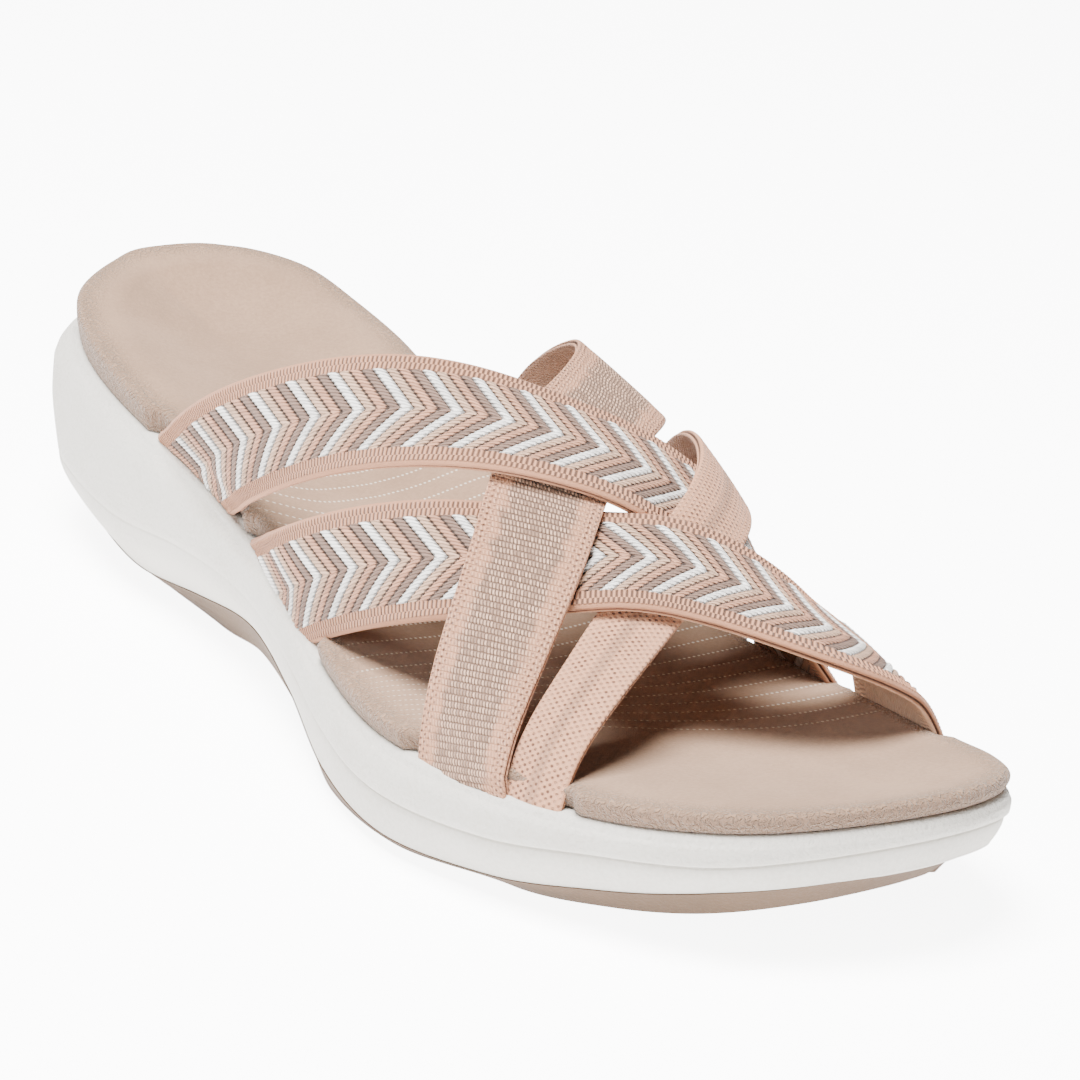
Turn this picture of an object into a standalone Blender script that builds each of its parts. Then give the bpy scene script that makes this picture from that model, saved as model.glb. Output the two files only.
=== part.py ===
"""Slip-on sandal, right shoe: outsole, midsole, insole and an upper of four crossing elastic straps.

Toe towards +X, the shoe's inner side towards +Y, up is +Z. Sizes are in millimetres and the finished
meshes in metres, standing on z = 0.
"""
import bmesh
import bpy
import numpy as np
from mathutils import Vector
from mathutils.bvhtree import BVHTree

MM = 0.001

# driving sizes
HEEL_BACK_X = 2.65
TOE_TIP_X = 256.0
HEEL_BACK_Y = -0.1
TOE_TIP_Y = 8.4
SIDE_CENTRE = -7.68
LENGTH_CENTRE = 126.36
RING_POINTS = 92
CURVE_STEPS = 40
GAP = 0.3
WELD = 1e-6

# how far a flat face is drawn in from its edge to its middle line, and how far round a rounded edge is
FLAT_SHARES = (0.8, 0.45, 0.0)
BED_SHARES = (0.97, 0.8, 0.6, 0.35, 0.0)
ROUND_SHARE = 0.3

# one row per station from the heel back to the toe tip, heights above the ground:
# distance along the shoe, half width to the outer side, half width to the inner side, midsole rim, how much
# higher the rim is on the inner side, crease in the wall, how far the wall stands out at the crease, step at
# the crease, lower edge of the midsole, how far that edge is tucked in, underside of the outsole, how far the
# underside is tucked in, insole edge above the rim, hollow of the footbed below that edge
STATION_COLUMNS = ("x", "outer", "inner", "rim", "inner_lift", "crease", "bulge", "step", "base", "tuck",
                   "ground", "tread_tuck", "edge_lift", "hollow")
STATIONS = (
    (2.65, 0, 0, 44.5, 1.3, 15.5, 5.8, 0.2, 9, 1.9, 0, 6.7, 7.4, 6.6),
    (5, 11, 17.9, 43.8, 0.5, 16.6, 5.9, 0.2, 8.8, 2.3, 0, 7.2, 7.4, 6.6),
    (16, 24.2, 27.6, 43, -0.2, 17.3, 4.2, 0.2, 8, 3, 0, 8.2, 7, 6.4),
    (32, 31.3, 31.9, 39.9, -0.3, 17, 2.5, 0.2, 6.4, 4.1, 0, 9.7, 6.4, 6),
    (55, 34.6, 31.2, 36.9, 0.1, 16.7, 2.3, 0.2, 4.4, 4.6, 0, 10.3, 5.6, 5),
    (80, 34.8, 26.7, 32.9, 0.6, 18.8, 2.1, 0.2, 6.9, 4.7, 0, 9.5, 5, 4),
    (105, 36.8, 22, 28.7, 1.6, 19.8, 1.5, 0.1, 10, 3.6, 4.1, 6.2, 4.6, 3.2),
    (130, 41.5, 22.4, 24.8, 1.3, 17, 1, 0.1, 8.6, 1.3, 4.7, 3.3, 4.2, 2.6),
    (155, 48.1, 28.3, 21.1, -0.2, 12.8, 1.1, 0.7, 4.3, 0.4, 0, 2.2, 4, 2.2),
    (180, 51.7, 33.7, 19.8, -1.4, 11.2, 1.6, 0.8, 3.2, 0.2, 0, 3.9, 4, 2),
    (205, 47.4, 36.5, 20.1, -1.8, 12.5, 1.4, 0.8, 4.1, 2.5, 0, 9.1, 4, 1.6),
    (225, 39, 35.6, 21, -1.7, 15.6, 0.7, 0.8, 7.3, 4.1, 2.3, 9, 4, 1.4),
    (241, 28.1, 32.2, 23, -0.7, 17.9, 0.5, 0.8, 11.3, 3.7, 5.8, 8, 3.7, 1.2),
    (251, 12.9, 25.6, 24.8, -0.8, 20.5, 0.3, 0.8, 14.5, 2.2, 8.5, 7.7, 3.5, 1),
    (256, 0, 0, 26.1, -1.1, 22.3, 0.4, 0.8, 16.2, 2, 10.4, 7.9, 3.5, 1),
)

# midsole
RIM_ROUND = 1.4
CREASE_DROP = 0.9
# height between crease and rim, share of the bulge there
BELLY_COLUMNS = ("up", "out")
BELLY = ((0.25, 0.95), (0.5, 1.1), (0.76, 1.05), (0.92, 0.62))
CREASE_SHARE = 0.72
LOWER_WALL_SHARE = 0.55

# insole
INSOLE_INSET = 0.8
EDGE_ROUND = 2.4
EDGE_ROLL = 6.0
STRAP_DENT = 2.4
DENT_NEAR = 4.0
DENT_FAR = 8.0
HEEL_SHRINK = 0.16

# outsole
HEEL_RIBS = 3
RIB_DEPTH = 0.5
RIB_FADE_X = 100.0

# straps
STRAP_THICKNESS = 2.0
STRAP_SEPARATION = 1.5
STRAP_CUP = 0.5
STRAP_ROWS_ALONG = 44
STRAP_COLUMNS_ACROSS = 4
RELAX_STEPS = 160
CROSS_REACH = 14.0
FORM_AXIS_Z = 12.0
SKIRT = 14.0
SLIVER = 0.03  # points of the trimmed straps closer than this become one

# one row per place along a strap, from its outer foot to its inner foot: centre of the strap, lean of the
# strap about its own length in degrees, width
STRAP_COLUMNS = ("x", "y", "z", "lean", "width")
STRAPS = {
    "rear": (
        (74, -29.8, 28, -54, 22),
        (99, -38.5, 42.5, -42, 22),
        (124, -39, 56, -30, 22),
        (146, -32, 65, -22, 22),
        (163.5, -18.5, 67, -14, 22),
        (175, -2, 61, -21, 22),
        (180.5, 13.5, 50, -29, 22),
        (183.5, 25.4, 35.2, -15.2, 22),
        (185.7, 34.2, 18.2, 5.8, 22),
    ),
    "front": (
        (113.5, -35, 19, -20, 23),
        (132, -42.5, 29, -19, 22),
        (150.5, -42.5, 39, -18, 22),
        (168, -36.5, 46.5, -15, 22),
        (182.5, -24, 50, -13, 22),
        (197.4, -3.6, 49.9, -19.8, 22),
        (210.5, 15.2, 41.3, -19.6, 22),
        (211.6, 29.9, 31.9, -6.6, 22),
        (211.9, 36.2, 19.2, 4.4, 22),
    ),
    "plain": (
        (202, -51, 9.5, -6, 20.5),
        (196.5, -46, 25, -12, 20.5),
        (190, -37, 39.5, -19, 20.5),
        (181.5, -25, 53, -22, 20.5),
        (169, -10, 63.5, -25, 20.5),
        (154.5, 7, 67.5, -24, 20.5),
        (138.5, 22, 62, -22, 20.5),
        (120.5, 27.7, 46.5, -30, 20.5),
        (103, 21.5, 26.5, -46, 20.5),
    ),
    "narrow": (
        (214.5, -46, 13.5, -20, 14),
        (212, -41, 28, -20, 13.5),
        (207, -29, 38, -20, 13.5),
        (199, -13, 45, -25, 13.5),
        (186.5, 2, 53.5, -30, 13.5),
        (172.5, 17, 57.5, -21, 13.5),
        (161.5, 30, 50, -12, 14),
        (151.5, 34, 35, -8, 14),
        (144, 23.4, 19.5, -4, 14),
    ),
}
# where two straps cross: the one on top, the one beneath
CROSSINGS = (("rear", "plain"), ("narrow", "rear"), ("plain", "front"), ("front", "narrow"),
             ("plain", "narrow"))

COLOURS = {
    "outsole": ((0.45, 0.33, 0.24, 1.0), 0.75),
    "midsole": ((0.76, 0.75, 0.72, 1.0), 0.7),
    "insole": ((0.61, 0.52, 0.44, 1.0), 0.9),
    "upper_straps": ((0.66, 0.47, 0.37, 1.0), 0.85),
}


def glide(knots, values, places):
    """Curve through the knots that never overshoots them."""
    knots = np.asarray(knots, float)
    values = np.asarray(values, float)
    span = np.diff(knots)
    slope = np.diff(values) / span
    tangent = np.zeros_like(values)
    tangent[0] = slope[0]
    tangent[-1] = slope[-1]
    for k in range(1, len(knots) - 1):
        if slope[k - 1] * slope[k] > 0:
            left = 2 * span[k] + span[k - 1]
            right = span[k] + 2 * span[k - 1]
            tangent[k] = (left + right) / (left / slope[k - 1] + right / slope[k])
    x = np.clip(places, knots[0], knots[-1])
    k = np.clip(np.searchsorted(knots, x, side="right") - 1, 0, len(span) - 1)
    t = (x - knots[k]) / span[k]
    rise = t * t * (3 - 2 * t)
    lead = t * (1 - t) ** 2 * span[k] * tangent[k]
    trail = t * t * (t - 1) * span[k] * tangent[k + 1]
    return values[k] + (values[k + 1] - values[k]) * rise + lead + trail


def spline(points, places, closed=False):
    """Smooth curve through the points, one unit of parameter per point."""
    points = np.asarray(points, float)
    n = len(points)
    matrix = np.zeros((n, n))
    right = np.zeros_like(points)
    for k in range(n):
        before, after = (k - 1) % n, (k + 1) % n
        if closed or 0 < k < n - 1:
            matrix[k, before] += 1
            matrix[k, k] += 4
            matrix[k, after] += 1
            right[k] = 3 * (points[after] - points[before])
        elif k == 0:
            matrix[k, 0], matrix[k, 1] = 2, 1
            right[k] = 3 * (points[1] - points[0])
        else:
            matrix[k, k], matrix[k, k - 1] = 2, 1
            right[k] = 3 * (points[k] - points[k - 1])
    tangent = np.linalg.solve(matrix, right)
    places = np.asarray(places, float)
    k = np.floor(places).astype(int)
    if not closed:
        k = np.clip(k, 0, n - 2)
    t = (places - k)[:, None]
    a, b = k % n, (k + 1) % n
    return (points[a] * (2 * t ** 3 - 3 * t ** 2 + 1) + tangent[a] * (t ** 3 - 2 * t ** 2 + t)
            + points[b] * (3 * t ** 2 - 2 * t ** 3) + tangent[b] * (t ** 3 - t ** 2))


def even(curve, count):
    """Places along a finely drawn curve that are equally far apart."""
    step = np.linalg.norm(np.diff(curve, axis=0), axis=1)
    along = np.concatenate([[0], np.cumsum(step)])
    goal = np.linspace(0, along[-1], count)
    return np.stack([np.interp(goal, along, curve[:, j]) for j in range(curve.shape[1])], 1)


def column(name, x):
    """One column of the station table at the given places along the shoe."""
    k = STATION_COLUMNS.index(name)
    return glide([row[0] for row in STATIONS], [row[k] for row in STATIONS], x)


def outline():
    """Rim outline from the heel back along the outer side to the toe tip and home along the inner side."""
    inside = STATIONS[1:-1]
    outer = [(HEEL_BACK_X, HEEL_BACK_Y)] + [(row[0], -row[1]) for row in inside]
    outer.append((TOE_TIP_X, TOE_TIP_Y))
    inner = [(row[0], row[2]) for row in reversed(inside)]
    stops = outer + inner
    half = RING_POINTS // 2
    curve = spline(stops, np.arange(len(stops) * CURVE_STEPS + 1) / CURVE_STEPS, closed=True)
    toe = (len(outer) - 1) * CURVE_STEPS
    first = even(curve[:toe + 1], half + 1)[:-1]
    second = even(curve[toe:], half + 1)[:-1]
    return np.concatenate([first, second])


RIM = outline()
AHEAD = np.roll(RIM, -1, axis=0) - np.roll(RIM, 1, axis=0)
AHEAD /= np.linalg.norm(AHEAD, axis=1)[:, None]
OUTWARD = np.stack([AHEAD[:, 1], -AHEAD[:, 0]], 1)
if (OUTWARD * (RIM - RIM.mean(axis=0))).sum() < 0:
    OUTWARD = -OUTWARD
PARTNER = (-np.arange(RING_POINTS)) % RING_POINTS
MIDDLE = (RIM + RIM[PARTNER]) / 2
HEART = np.array([(HEEL_BACK_X + TOE_TIP_X) / 2, MIDDLE[:, 1].mean()])
INNER_SHARE = 0.5 + 0.5 * OUTWARD[:, 1]
STATION_X = RIM[:, 0].copy()


def ring(offset, height, shrink=1.0):
    """Closed loop beside the rim: moved outwards by offset, then drawn in towards the middle line."""
    edge = RIM + OUTWARD * np.broadcast_to(offset, RING_POINTS)[:, None]
    core = HEART + (MIDDLE - HEART) * (1 - HEEL_SHRINK * (1 - shrink))
    plan = core + (edge - MIDDLE) * shrink
    if callable(height):
        height = height(plan[:, 0], shrink)
    return np.column_stack([plan, np.broadcast_to(height, RING_POINTS)])


def rim_height(x, shrink=1.0):
    """Height of the midsole rim: on the inner side it is higher at the waist and lower at the ball."""
    share = 0.5 + (INNER_SHARE - 0.5) * shrink
    return column("rim", x) + column("inner_lift", x) * share


def mesh_object(name, points, faces, collection):
    """New object from points in millimetres of the shoe and faces, welded and facing out."""
    place = (np.asarray(points) - (LENGTH_CENTRE, SIDE_CENTRE, 0)) * MM
    mesh = bpy.data.meshes.new(name)
    mesh.from_pydata([tuple(p) for p in place], [], faces)
    build = bmesh.new()
    build.from_mesh(mesh)
    bmesh.ops.remove_doubles(build, verts=build.verts, dist=WELD)
    bmesh.ops.dissolve_degenerate(build, edges=build.edges, dist=WELD)
    bmesh.ops.recalc_face_normals(build, faces=build.faces)
    build.to_mesh(mesh)
    build.free()
    thing = bpy.data.objects.new(name, mesh)
    collection.objects.link(thing)
    return thing


def loft_rings(name, rings, collection):
    """Solid through a run of loops; its first and last loops close on their own middle line."""
    points = np.concatenate(rings)
    faces = []
    for k in range(len(rings) - 1):
        for i in range(RING_POINTS):
            j = (i + 1) % RING_POINTS
            low, high = k * RING_POINTS, (k + 1) * RING_POINTS
            faces.append((low + i, low + j, high + j, high + i))
    return mesh_object(name, points, faces, collection)


def make_outsole(collection):
    """Tread layer: flat under heel and ball, lifted at the waist and toe, ribbed round the heel."""
    tuck, tread = column("tuck", STATION_X), column("tread_tuck", STATION_X)
    base, ground = column("base", STATION_X) - GAP, column("ground", STATION_X)
    fade = np.clip(1 - STATION_X / RIB_FADE_X, 0, 1)
    reach = OUTWARD[:, 0] * tread
    shared = (reach + reach[PARTNER]) / 2

    def under(x, shrink):
        return column("ground", x + shared + (reach - shared) * shrink)

    def top(x, shrink):
        return column("base", x) - GAP

    rings = [ring(-tread, under, share) for share in reversed(FLAT_SHARES)]
    rings.append(ring(-tread, ground))
    steps = 2 * HEEL_RIBS
    for k in range(1, steps):
        share = k / steps
        rib = RIB_DEPTH * fade * (-1 if k % 2 else 0)
        rings.append(ring(-tread + (tread - tuck) * share + rib, ground + (base - ground) * share))
    rings.append(ring(-tuck, base))
    rings += [ring(-tuck, top, share) for share in FLAT_SHARES]
    return loft_rings("outsole", rings, collection)


def make_midsole(collection):
    """Foam wedge: tucked-in lower wall, crease with a step, full upper wall and rounded rim."""
    tuck, bulge = column("tuck", STATION_X), column("bulge", STATION_X)
    fold = bulge * CREASE_SHARE
    base, crease = column("base", STATION_X), column("crease", STATION_X)
    step = column("step", STATION_X)
    rim = rim_height(STATION_X)

    def under(x, shrink):
        return column("base", x)

    rings = [ring(-tuck, under, share) for share in reversed(FLAT_SHARES)]
    rings.append(ring(-tuck, base))
    rings.append(ring((fold + tuck) * LOWER_WALL_SHARE - tuck, base + (crease - base) * LOWER_WALL_SHARE))
    rings.append(ring(fold - step, crease - CREASE_DROP))
    rings.append(ring(fold, crease))
    for up, out in BELLY:
        rings.append(ring(bulge * out, crease + (rim - RIM_ROUND - crease) * up))
    rings.append(ring(0.0, rim - RIM_ROUND))
    rings.append(ring(-RIM_ROUND * ROUND_SHARE, rim - RIM_ROUND * ROUND_SHARE))
    rings.append(ring(-RIM_ROUND, rim))
    rings += [ring(-RIM_ROUND, rim_height, share) for share in FLAT_SHARES]
    return loft_rings("midsole", rings, collection)


def strap_dent():
    """Share of the insole edge that gives way to a strap, at each point of the rim."""
    seat = np.column_stack([RIM, rim_height(STATION_X) + EDGE_ROUND])
    spots = np.concatenate([grid.reshape(-1, 3) for grid in STRAP_GRIDS.values()])
    apart = np.linalg.norm(seat[:, None] - spots[None], axis=2).min(axis=1)
    return np.clip((DENT_FAR - apart) / (DENT_FAR - DENT_NEAR), 0, 1)


def insole_rings(grow):
    """Loops of the insole, grown on every side by the given amount."""
    rim = rim_height(STATION_X)
    lift = column("edge_lift", STATION_X)
    side = grow - INSOLE_INSET - STRAP_DENT * strap_dent()
    inside = grow - INSOLE_INSET - EDGE_ROLL

    def under(x, shrink):
        return rim_height(x, shrink) + 2 * (GAP - grow)

    def bed(x, shrink):
        dip = column("hollow", x) * (1 - shrink ** 2)
        return rim_height(x, shrink) + column("edge_lift", x) - dip + grow

    rings = [ring(-RIM_ROUND, under, share) for share in reversed(FLAT_SHARES)]
    rings.append(ring(side, rim + GAP - grow))
    rings.append(ring(side, rim + lift - EDGE_ROUND))
    turn = EDGE_ROUND * ROUND_SHARE
    rings.append(ring(side - turn, rim + lift - turn + grow * (1 - ROUND_SHARE)))
    rings.append(ring(side - EDGE_ROUND, rim + lift + grow))
    rings += [ring(inside, bed, share) for share in BED_SHARES]
    return rings


def make_insole(collection):
    """Padded footbed with a rolled edge and a cupped heel."""
    return loft_rings("insole", insole_rings(0.0), collection)


def strap_grid(rows):
    """Points and outward directions over the middle of a strap, rows along it and columns across."""
    table = np.array(rows, float)
    fine = spline(table, np.linspace(0, len(rows) - 1, len(rows) * CURVE_STEPS))
    run = even(fine, STRAP_ROWS_ALONG + 1)
    centre, lean, width = run[:, :3], np.radians(run[:, 3]), run[:, 4]
    ahead = np.gradient(centre, axis=0)
    ahead /= np.linalg.norm(ahead, axis=1)[:, None]
    out = np.column_stack([np.zeros(len(centre)), centre[:, 1], centre[:, 2] - FORM_AXIS_Z])
    out -= (out * ahead).sum(axis=1)[:, None] * ahead
    out /= np.linalg.norm(out, axis=1)[:, None]
    across = np.cross(ahead, out)
    turn, rise = np.cos(lean)[:, None], np.sin(lean)[:, None]
    normal = turn * out - rise * across
    across = turn * across + rise * out
    share = np.linspace(-0.5, 0.5, STRAP_COLUMNS_ACROSS + 1)
    grid = (centre[:, None] + across[:, None] * (width[:, None] * share)[:, :, None]
            - normal[:, None] * (STRAP_CUP * (2 * share) ** 2)[None, :, None])
    return grid, np.repeat(normal[:, None], len(share), axis=1)


def grid_faces(rows, columns):
    """Four-sided faces of a grid of points."""
    faces = []
    for i in range(rows - 1):
        for j in range(columns - 1):
            a = i * columns + j
            faces.append((a, a + columns, a + columns + 1, a + 1))
    return faces


def draw_together(grids):
    """Bring the straps to lie one on the other at each crossing, easing off along each strap."""
    rows, columns = STRAP_ROWS_ALONG + 1, STRAP_COLUMNS_ACROSS + 1
    faces = grid_faces(rows, columns)
    trees = {}
    for name, (grid, normal) in grids.items():
        trees[name] = BVHTree.FromPolygons([Vector(p) for p in grid.reshape(-1, 3)], faces)
    moved = {}
    for name, (grid, normal) in grids.items():
        shift = np.zeros((rows, columns))
        held = np.zeros((rows, columns), bool)
        held[0] = held[-1] = True
        for top, beneath in CROSSINGS:
            if name not in (top, beneath):
                continue
            other = beneath if name == top else top
            side = 1 if name == top else -1
            for i in range(rows):
                for j in range(columns):
                    start, line = Vector(grid[i, j]), Vector(normal[i, j])
                    for way in (1, -1):
                        hit = trees[other].ray_cast(start, line * way, CROSS_REACH)
                        if hit[0] is not None:
                            shift[i, j] = (hit[3] * way + side * STRAP_SEPARATION) / 2
                            held[i, j] = True
        for step in range(RELAX_STEPS):
            spread = np.pad(shift, 1, mode="edge")
            mean = (spread[:-2, 1:-1] + spread[2:, 1:-1] + spread[1:-1, :-2] + spread[1:-1, 2:]) / 4
            shift = np.where(held, shift, mean)
        moved[name] = grid + normal * shift[:, :, None]
    return moved


STRAP_GRIDS = draw_together({name: strap_grid(rows) for name, rows in STRAPS.items()})


def make_upper(collection, cutters):
    """Four straps joined where they cross and trimmed to stand on the rim beside the insole."""
    rows, columns = STRAP_ROWS_ALONG + 1, STRAP_COLUMNS_ACROSS + 1
    straps = {}
    for name, grid in STRAP_GRIDS.items():
        home = collection if name == "rear" else cutters
        label = "upper_straps" if name == "rear" else "strap_" + name
        strap = mesh_object(label, grid.reshape(-1, 3), grid_faces(rows, columns), home)
        solid = strap.modifiers.new("thickness", "SOLIDIFY")
        solid.thickness = STRAP_THICKNESS * MM
        solid.offset = -1.0
        solid.use_even_offset = True
        straps[name] = strap
    upper = straps["rear"]
    for name in ("plain", "narrow", "front"):
        join(upper, straps[name], "UNION")
    rim = rim_height(STATION_X)

    def seat(x, shrink):
        return rim_height(x, shrink) + GAP

    skirt = [ring(SKIRT, -SKIRT, share) for share in reversed(FLAT_SHARES)]
    skirt += [ring(SKIRT, -SKIRT), ring(SKIRT, rim + GAP)]
    skirt += [ring(SKIRT, seat, share) for share in FLAT_SHARES]
    join(upper, loft_rings("sole_space", skirt, cutters), "DIFFERENCE")
    join(upper, loft_rings("insole_space", insole_rings(GAP), cutters), "DIFFERENCE")
    upper.modifiers.new("facets", "TRIANGULATE")
    slivers = upper.modifiers.new("slivers", "WELD")
    slivers.merge_threshold = SLIVER * MM
    return upper


def join(thing, other, operation):
    """Boolean of one object with another."""
    step = thing.modifiers.new(other.name, "BOOLEAN")
    step.operation = operation
    step.solver = "EXACT"
    step.object = other


def paint(thing):
    """Give an object its own plain material."""
    colour, roughness = COLOURS[thing.name]
    material = bpy.data.materials.new(thing.name)
    material.use_nodes = True
    shader = material.node_tree.nodes["Principled BSDF"]
    shader.inputs["Base Color"].default_value = colour
    shader.inputs["Roughness"].default_value = roughness
    shader.inputs["Metallic"].default_value = 0.0
    thing.data.materials.clear()
    thing.data.materials.append(material)


def main():
    for thing in list(bpy.data.objects):
        bpy.data.objects.remove(thing, do_unlink=True)
    scene = bpy.context.scene
    parts = bpy.data.collections.new("slip_on_sandal")
    cutters = bpy.data.collections.new("cutters")
    scene.collection.children.link(parts)
    scene.collection.children.link(cutters)
    made = [make_outsole(parts), make_midsole(parts), make_insole(parts), make_upper(parts, cutters)]
    for thing in made:
        paint(thing)
    for thing in cutters.objects:
        thing.hide_render = True
        thing.display_type = "WIRE"


main()
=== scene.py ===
# %% [markdown]
# # A woven slip-on sandal
# A thick white foam wedge stands on a tan rubber tread and carries a padded suede-like footbed. Four elastic
# straps cross over the instep: two woven in chevron cords, one plain band and one narrow knitted band. The
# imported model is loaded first: it is the fixed frame that every piece here is dressed on, and nothing in it is
# moved.

# %% Load the frame
import math

import bpy
import numpy as np
from mathutils import Matrix, Vector
from mathutils.bvhtree import BVHTree


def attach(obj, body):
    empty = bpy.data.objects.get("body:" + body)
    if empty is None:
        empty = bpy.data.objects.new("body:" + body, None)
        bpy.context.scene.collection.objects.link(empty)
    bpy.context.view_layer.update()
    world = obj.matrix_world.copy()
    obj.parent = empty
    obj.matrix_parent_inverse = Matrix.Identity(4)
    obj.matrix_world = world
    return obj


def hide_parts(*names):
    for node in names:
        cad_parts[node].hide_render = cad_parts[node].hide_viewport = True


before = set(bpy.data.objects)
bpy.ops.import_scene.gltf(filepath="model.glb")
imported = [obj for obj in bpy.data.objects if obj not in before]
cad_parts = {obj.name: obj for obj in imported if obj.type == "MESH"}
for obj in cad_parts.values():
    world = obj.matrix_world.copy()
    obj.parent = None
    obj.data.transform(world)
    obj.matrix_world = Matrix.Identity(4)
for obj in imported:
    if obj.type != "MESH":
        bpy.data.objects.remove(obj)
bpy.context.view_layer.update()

# %% [markdown]
# ## Sizes of the sole
# A shoe's sole is a run of cross sections on a last. One row of this table is one station along the shoe, in
# millimetres from the heel, and the columns say how wide, high and tucked in the layers are there. They are the
# solids' driving sizes, but for a slightly slimmer inner heel, so the dressed pieces sit where the solids are.
# In a table, a wrong station can be found and mended by reading it.

# %% Stations along the shoe
MM = 0.001
HEEL_BACK = (2.65, -0.1)
TOE_TIP = (256.0, 8.4)
LENGTH_CENTRE = 126.36
SIDE_CENTRE = -7.68
GAP = 0.3
STATION_COLUMNS = ("x", "outer", "inner", "rim", "inner_lift", "crease", "bulge", "step", "base", "tuck",
                   "ground", "tread_tuck", "edge_lift", "hollow")
STATIONS = (
    (2.65, 0, 0, 44.5, 1.3, 15.5, 5.8, 0.2, 9, 1.9, 0, 6.7, 7.4, 6.6),
    (5, 11, 16.8, 43.8, 0.5, 16.6, 5.9, 0.2, 8.8, 2.3, 0, 7.2, 7.4, 6.6),
    (16, 24.2, 27.6, 43, -0.2, 17.3, 4.2, 0.2, 8, 3, 0, 8.2, 7, 6.4),
    (32, 31.3, 31.9, 39.9, -0.3, 17, 2.5, 0.2, 6.4, 4.1, 0, 9.7, 6.4, 6),
    (55, 34.6, 31.2, 36.9, 0.1, 16.7, 2.3, 0.2, 4.4, 4.6, 0, 10.3, 5.6, 5),
    (80, 34.8, 26.7, 32.9, 0.6, 18.8, 2.1, 0.2, 6.9, 4.7, 0, 9.5, 5, 4),
    (105, 36.8, 22, 28.7, 1.6, 19.8, 1.5, 0.1, 10, 3.6, 4.1, 6.2, 4.6, 3.2),
    (130, 41.5, 22.4, 24.8, 1.3, 17, 1, 0.1, 8.6, 1.3, 4.7, 3.3, 4.2, 2.6),
    (155, 48.1, 28.3, 21.1, -0.2, 12.8, 1.1, 0.7, 4.3, 0.4, 0, 2.2, 4, 2.2),
    (180, 51.7, 33.7, 19.8, -1.4, 11.2, 1.6, 0.8, 3.2, 0.2, 0, 3.9, 4, 2),
    (205, 47.4, 36.5, 20.1, -1.8, 12.5, 1.4, 0.8, 4.1, 2.5, 0, 9.1, 4, 1.6),
    (225, 39, 35.6, 21, -1.7, 15.6, 0.7, 0.8, 7.3, 4.1, 2.3, 9, 4, 1.4),
    (241, 28.1, 32.2, 23, -0.7, 17.9, 0.5, 0.8, 11.3, 3.7, 5.8, 8, 3.7, 1.2),
    (251, 12.9, 25.6, 24.8, -0.8, 20.5, 0.3, 0.8, 14.5, 2.2, 8.5, 7.7, 3.5, 1),
    (256, 0, 0, 26.1, -1.1, 22.3, 0.4, 0.8, 16.2, 2, 10.4, 7.9, 3.5, 1),
)
print("stations", len(STATIONS), "columns", len(STATION_COLUMNS))

# %% [markdown]
# ## Curves through the tables
# A last has no corners, so the values between two stations come from curves. `glide` never swings past its
# knots, which keeps a flat tread flat. `spline` bends evenly and suits an outline. `even` spaces points equally
# along a drawn curve.

# %% Curve helpers
def glide(knots, values, places):
    """Curve through the knots that never overshoots them."""
    knots = np.asarray(knots, float)
    values = np.asarray(values, float)
    span = np.diff(knots)
    slope = np.diff(values) / span
    tangent = np.zeros_like(values)
    tangent[0] = slope[0]
    tangent[-1] = slope[-1]
    for k in range(1, len(knots) - 1):
        if slope[k - 1] * slope[k] > 0:
            left = 2 * span[k] + span[k - 1]
            right = span[k] + 2 * span[k - 1]
            tangent[k] = (left + right) / (left / slope[k - 1] + right / slope[k])
    x = np.clip(places, knots[0], knots[-1])
    k = np.clip(np.searchsorted(knots, x, side="right") - 1, 0, len(span) - 1)
    t = (x - knots[k]) / span[k]
    rise = t * t * (3 - 2 * t)
    lead = t * (1 - t) ** 2 * span[k] * tangent[k]
    trail = t * t * (t - 1) * span[k] * tangent[k + 1]
    return values[k] + (values[k + 1] - values[k]) * rise + lead + trail


def spline(points, places, closed=False):
    """Smooth curve through the points, one unit of parameter per point."""
    points = np.asarray(points, float)
    n = len(points)
    matrix = np.zeros((n, n))
    right = np.zeros_like(points)
    for k in range(n):
        before, after = (k - 1) % n, (k + 1) % n
        if closed or 0 < k < n - 1:
            matrix[k, before] += 1
            matrix[k, k] += 4
            matrix[k, after] += 1
            right[k] = 3 * (points[after] - points[before])
        else:
            beside = 1 if k == 0 else n - 2
            matrix[k, k], matrix[k, beside] = 2, 1
            right[k] = 3 * (points[max(k, beside)] - points[min(k, beside)])
    tangent = np.linalg.solve(matrix, right)
    places = np.asarray(places, float)
    k = np.floor(places).astype(int)
    if not closed:
        k = np.clip(k, 0, n - 2)
    t = (places - k)[:, None]
    a, b = k % n, (k + 1) % n
    return (points[a] * (2 * t ** 3 - 3 * t ** 2 + 1) + tangent[a] * (t ** 3 - 2 * t ** 2 + t)
            + points[b] * (3 * t ** 2 - 2 * t ** 3) + tangent[b] * (t ** 3 - t ** 2))


def even(curve, count):
    """Places along a finely drawn curve that are equally far apart."""
    step = np.linalg.norm(np.diff(curve, axis=0), axis=1)
    along = np.concatenate([[0], np.cumsum(step)])
    goal = np.linspace(0, along[-1], count)
    return np.stack([np.interp(goal, along, curve[:, j]) for j in range(curve.shape[1])], 1)


def column(name, x):
    """One column of the station table at the given places along the shoe."""
    k = STATION_COLUMNS.index(name)
    return glide([row[0] for row in STATIONS], [row[k] for row in STATIONS], x)


def ease(low, high, value):
    """Soft step from 0 at low to 1 at high."""
    t = np.clip((value - low) / (high - low), 0, 1)
    return t * t * (3 - 2 * t)


print("rim at the ball", float(column("rim", 180.0)), "mm")

# %% [markdown]
# ## The rim and loops beside it
# Every layer of the sole follows one outline, the rim where foam and footbed meet. It starts at the back of the
# heel, runs along the outer side to the toe and home along the inner side. A layer is then a stack of loops,
# each moved in or out from the rim and set to its height. A loop drawn right in to the middle line closes the
# layer.

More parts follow.
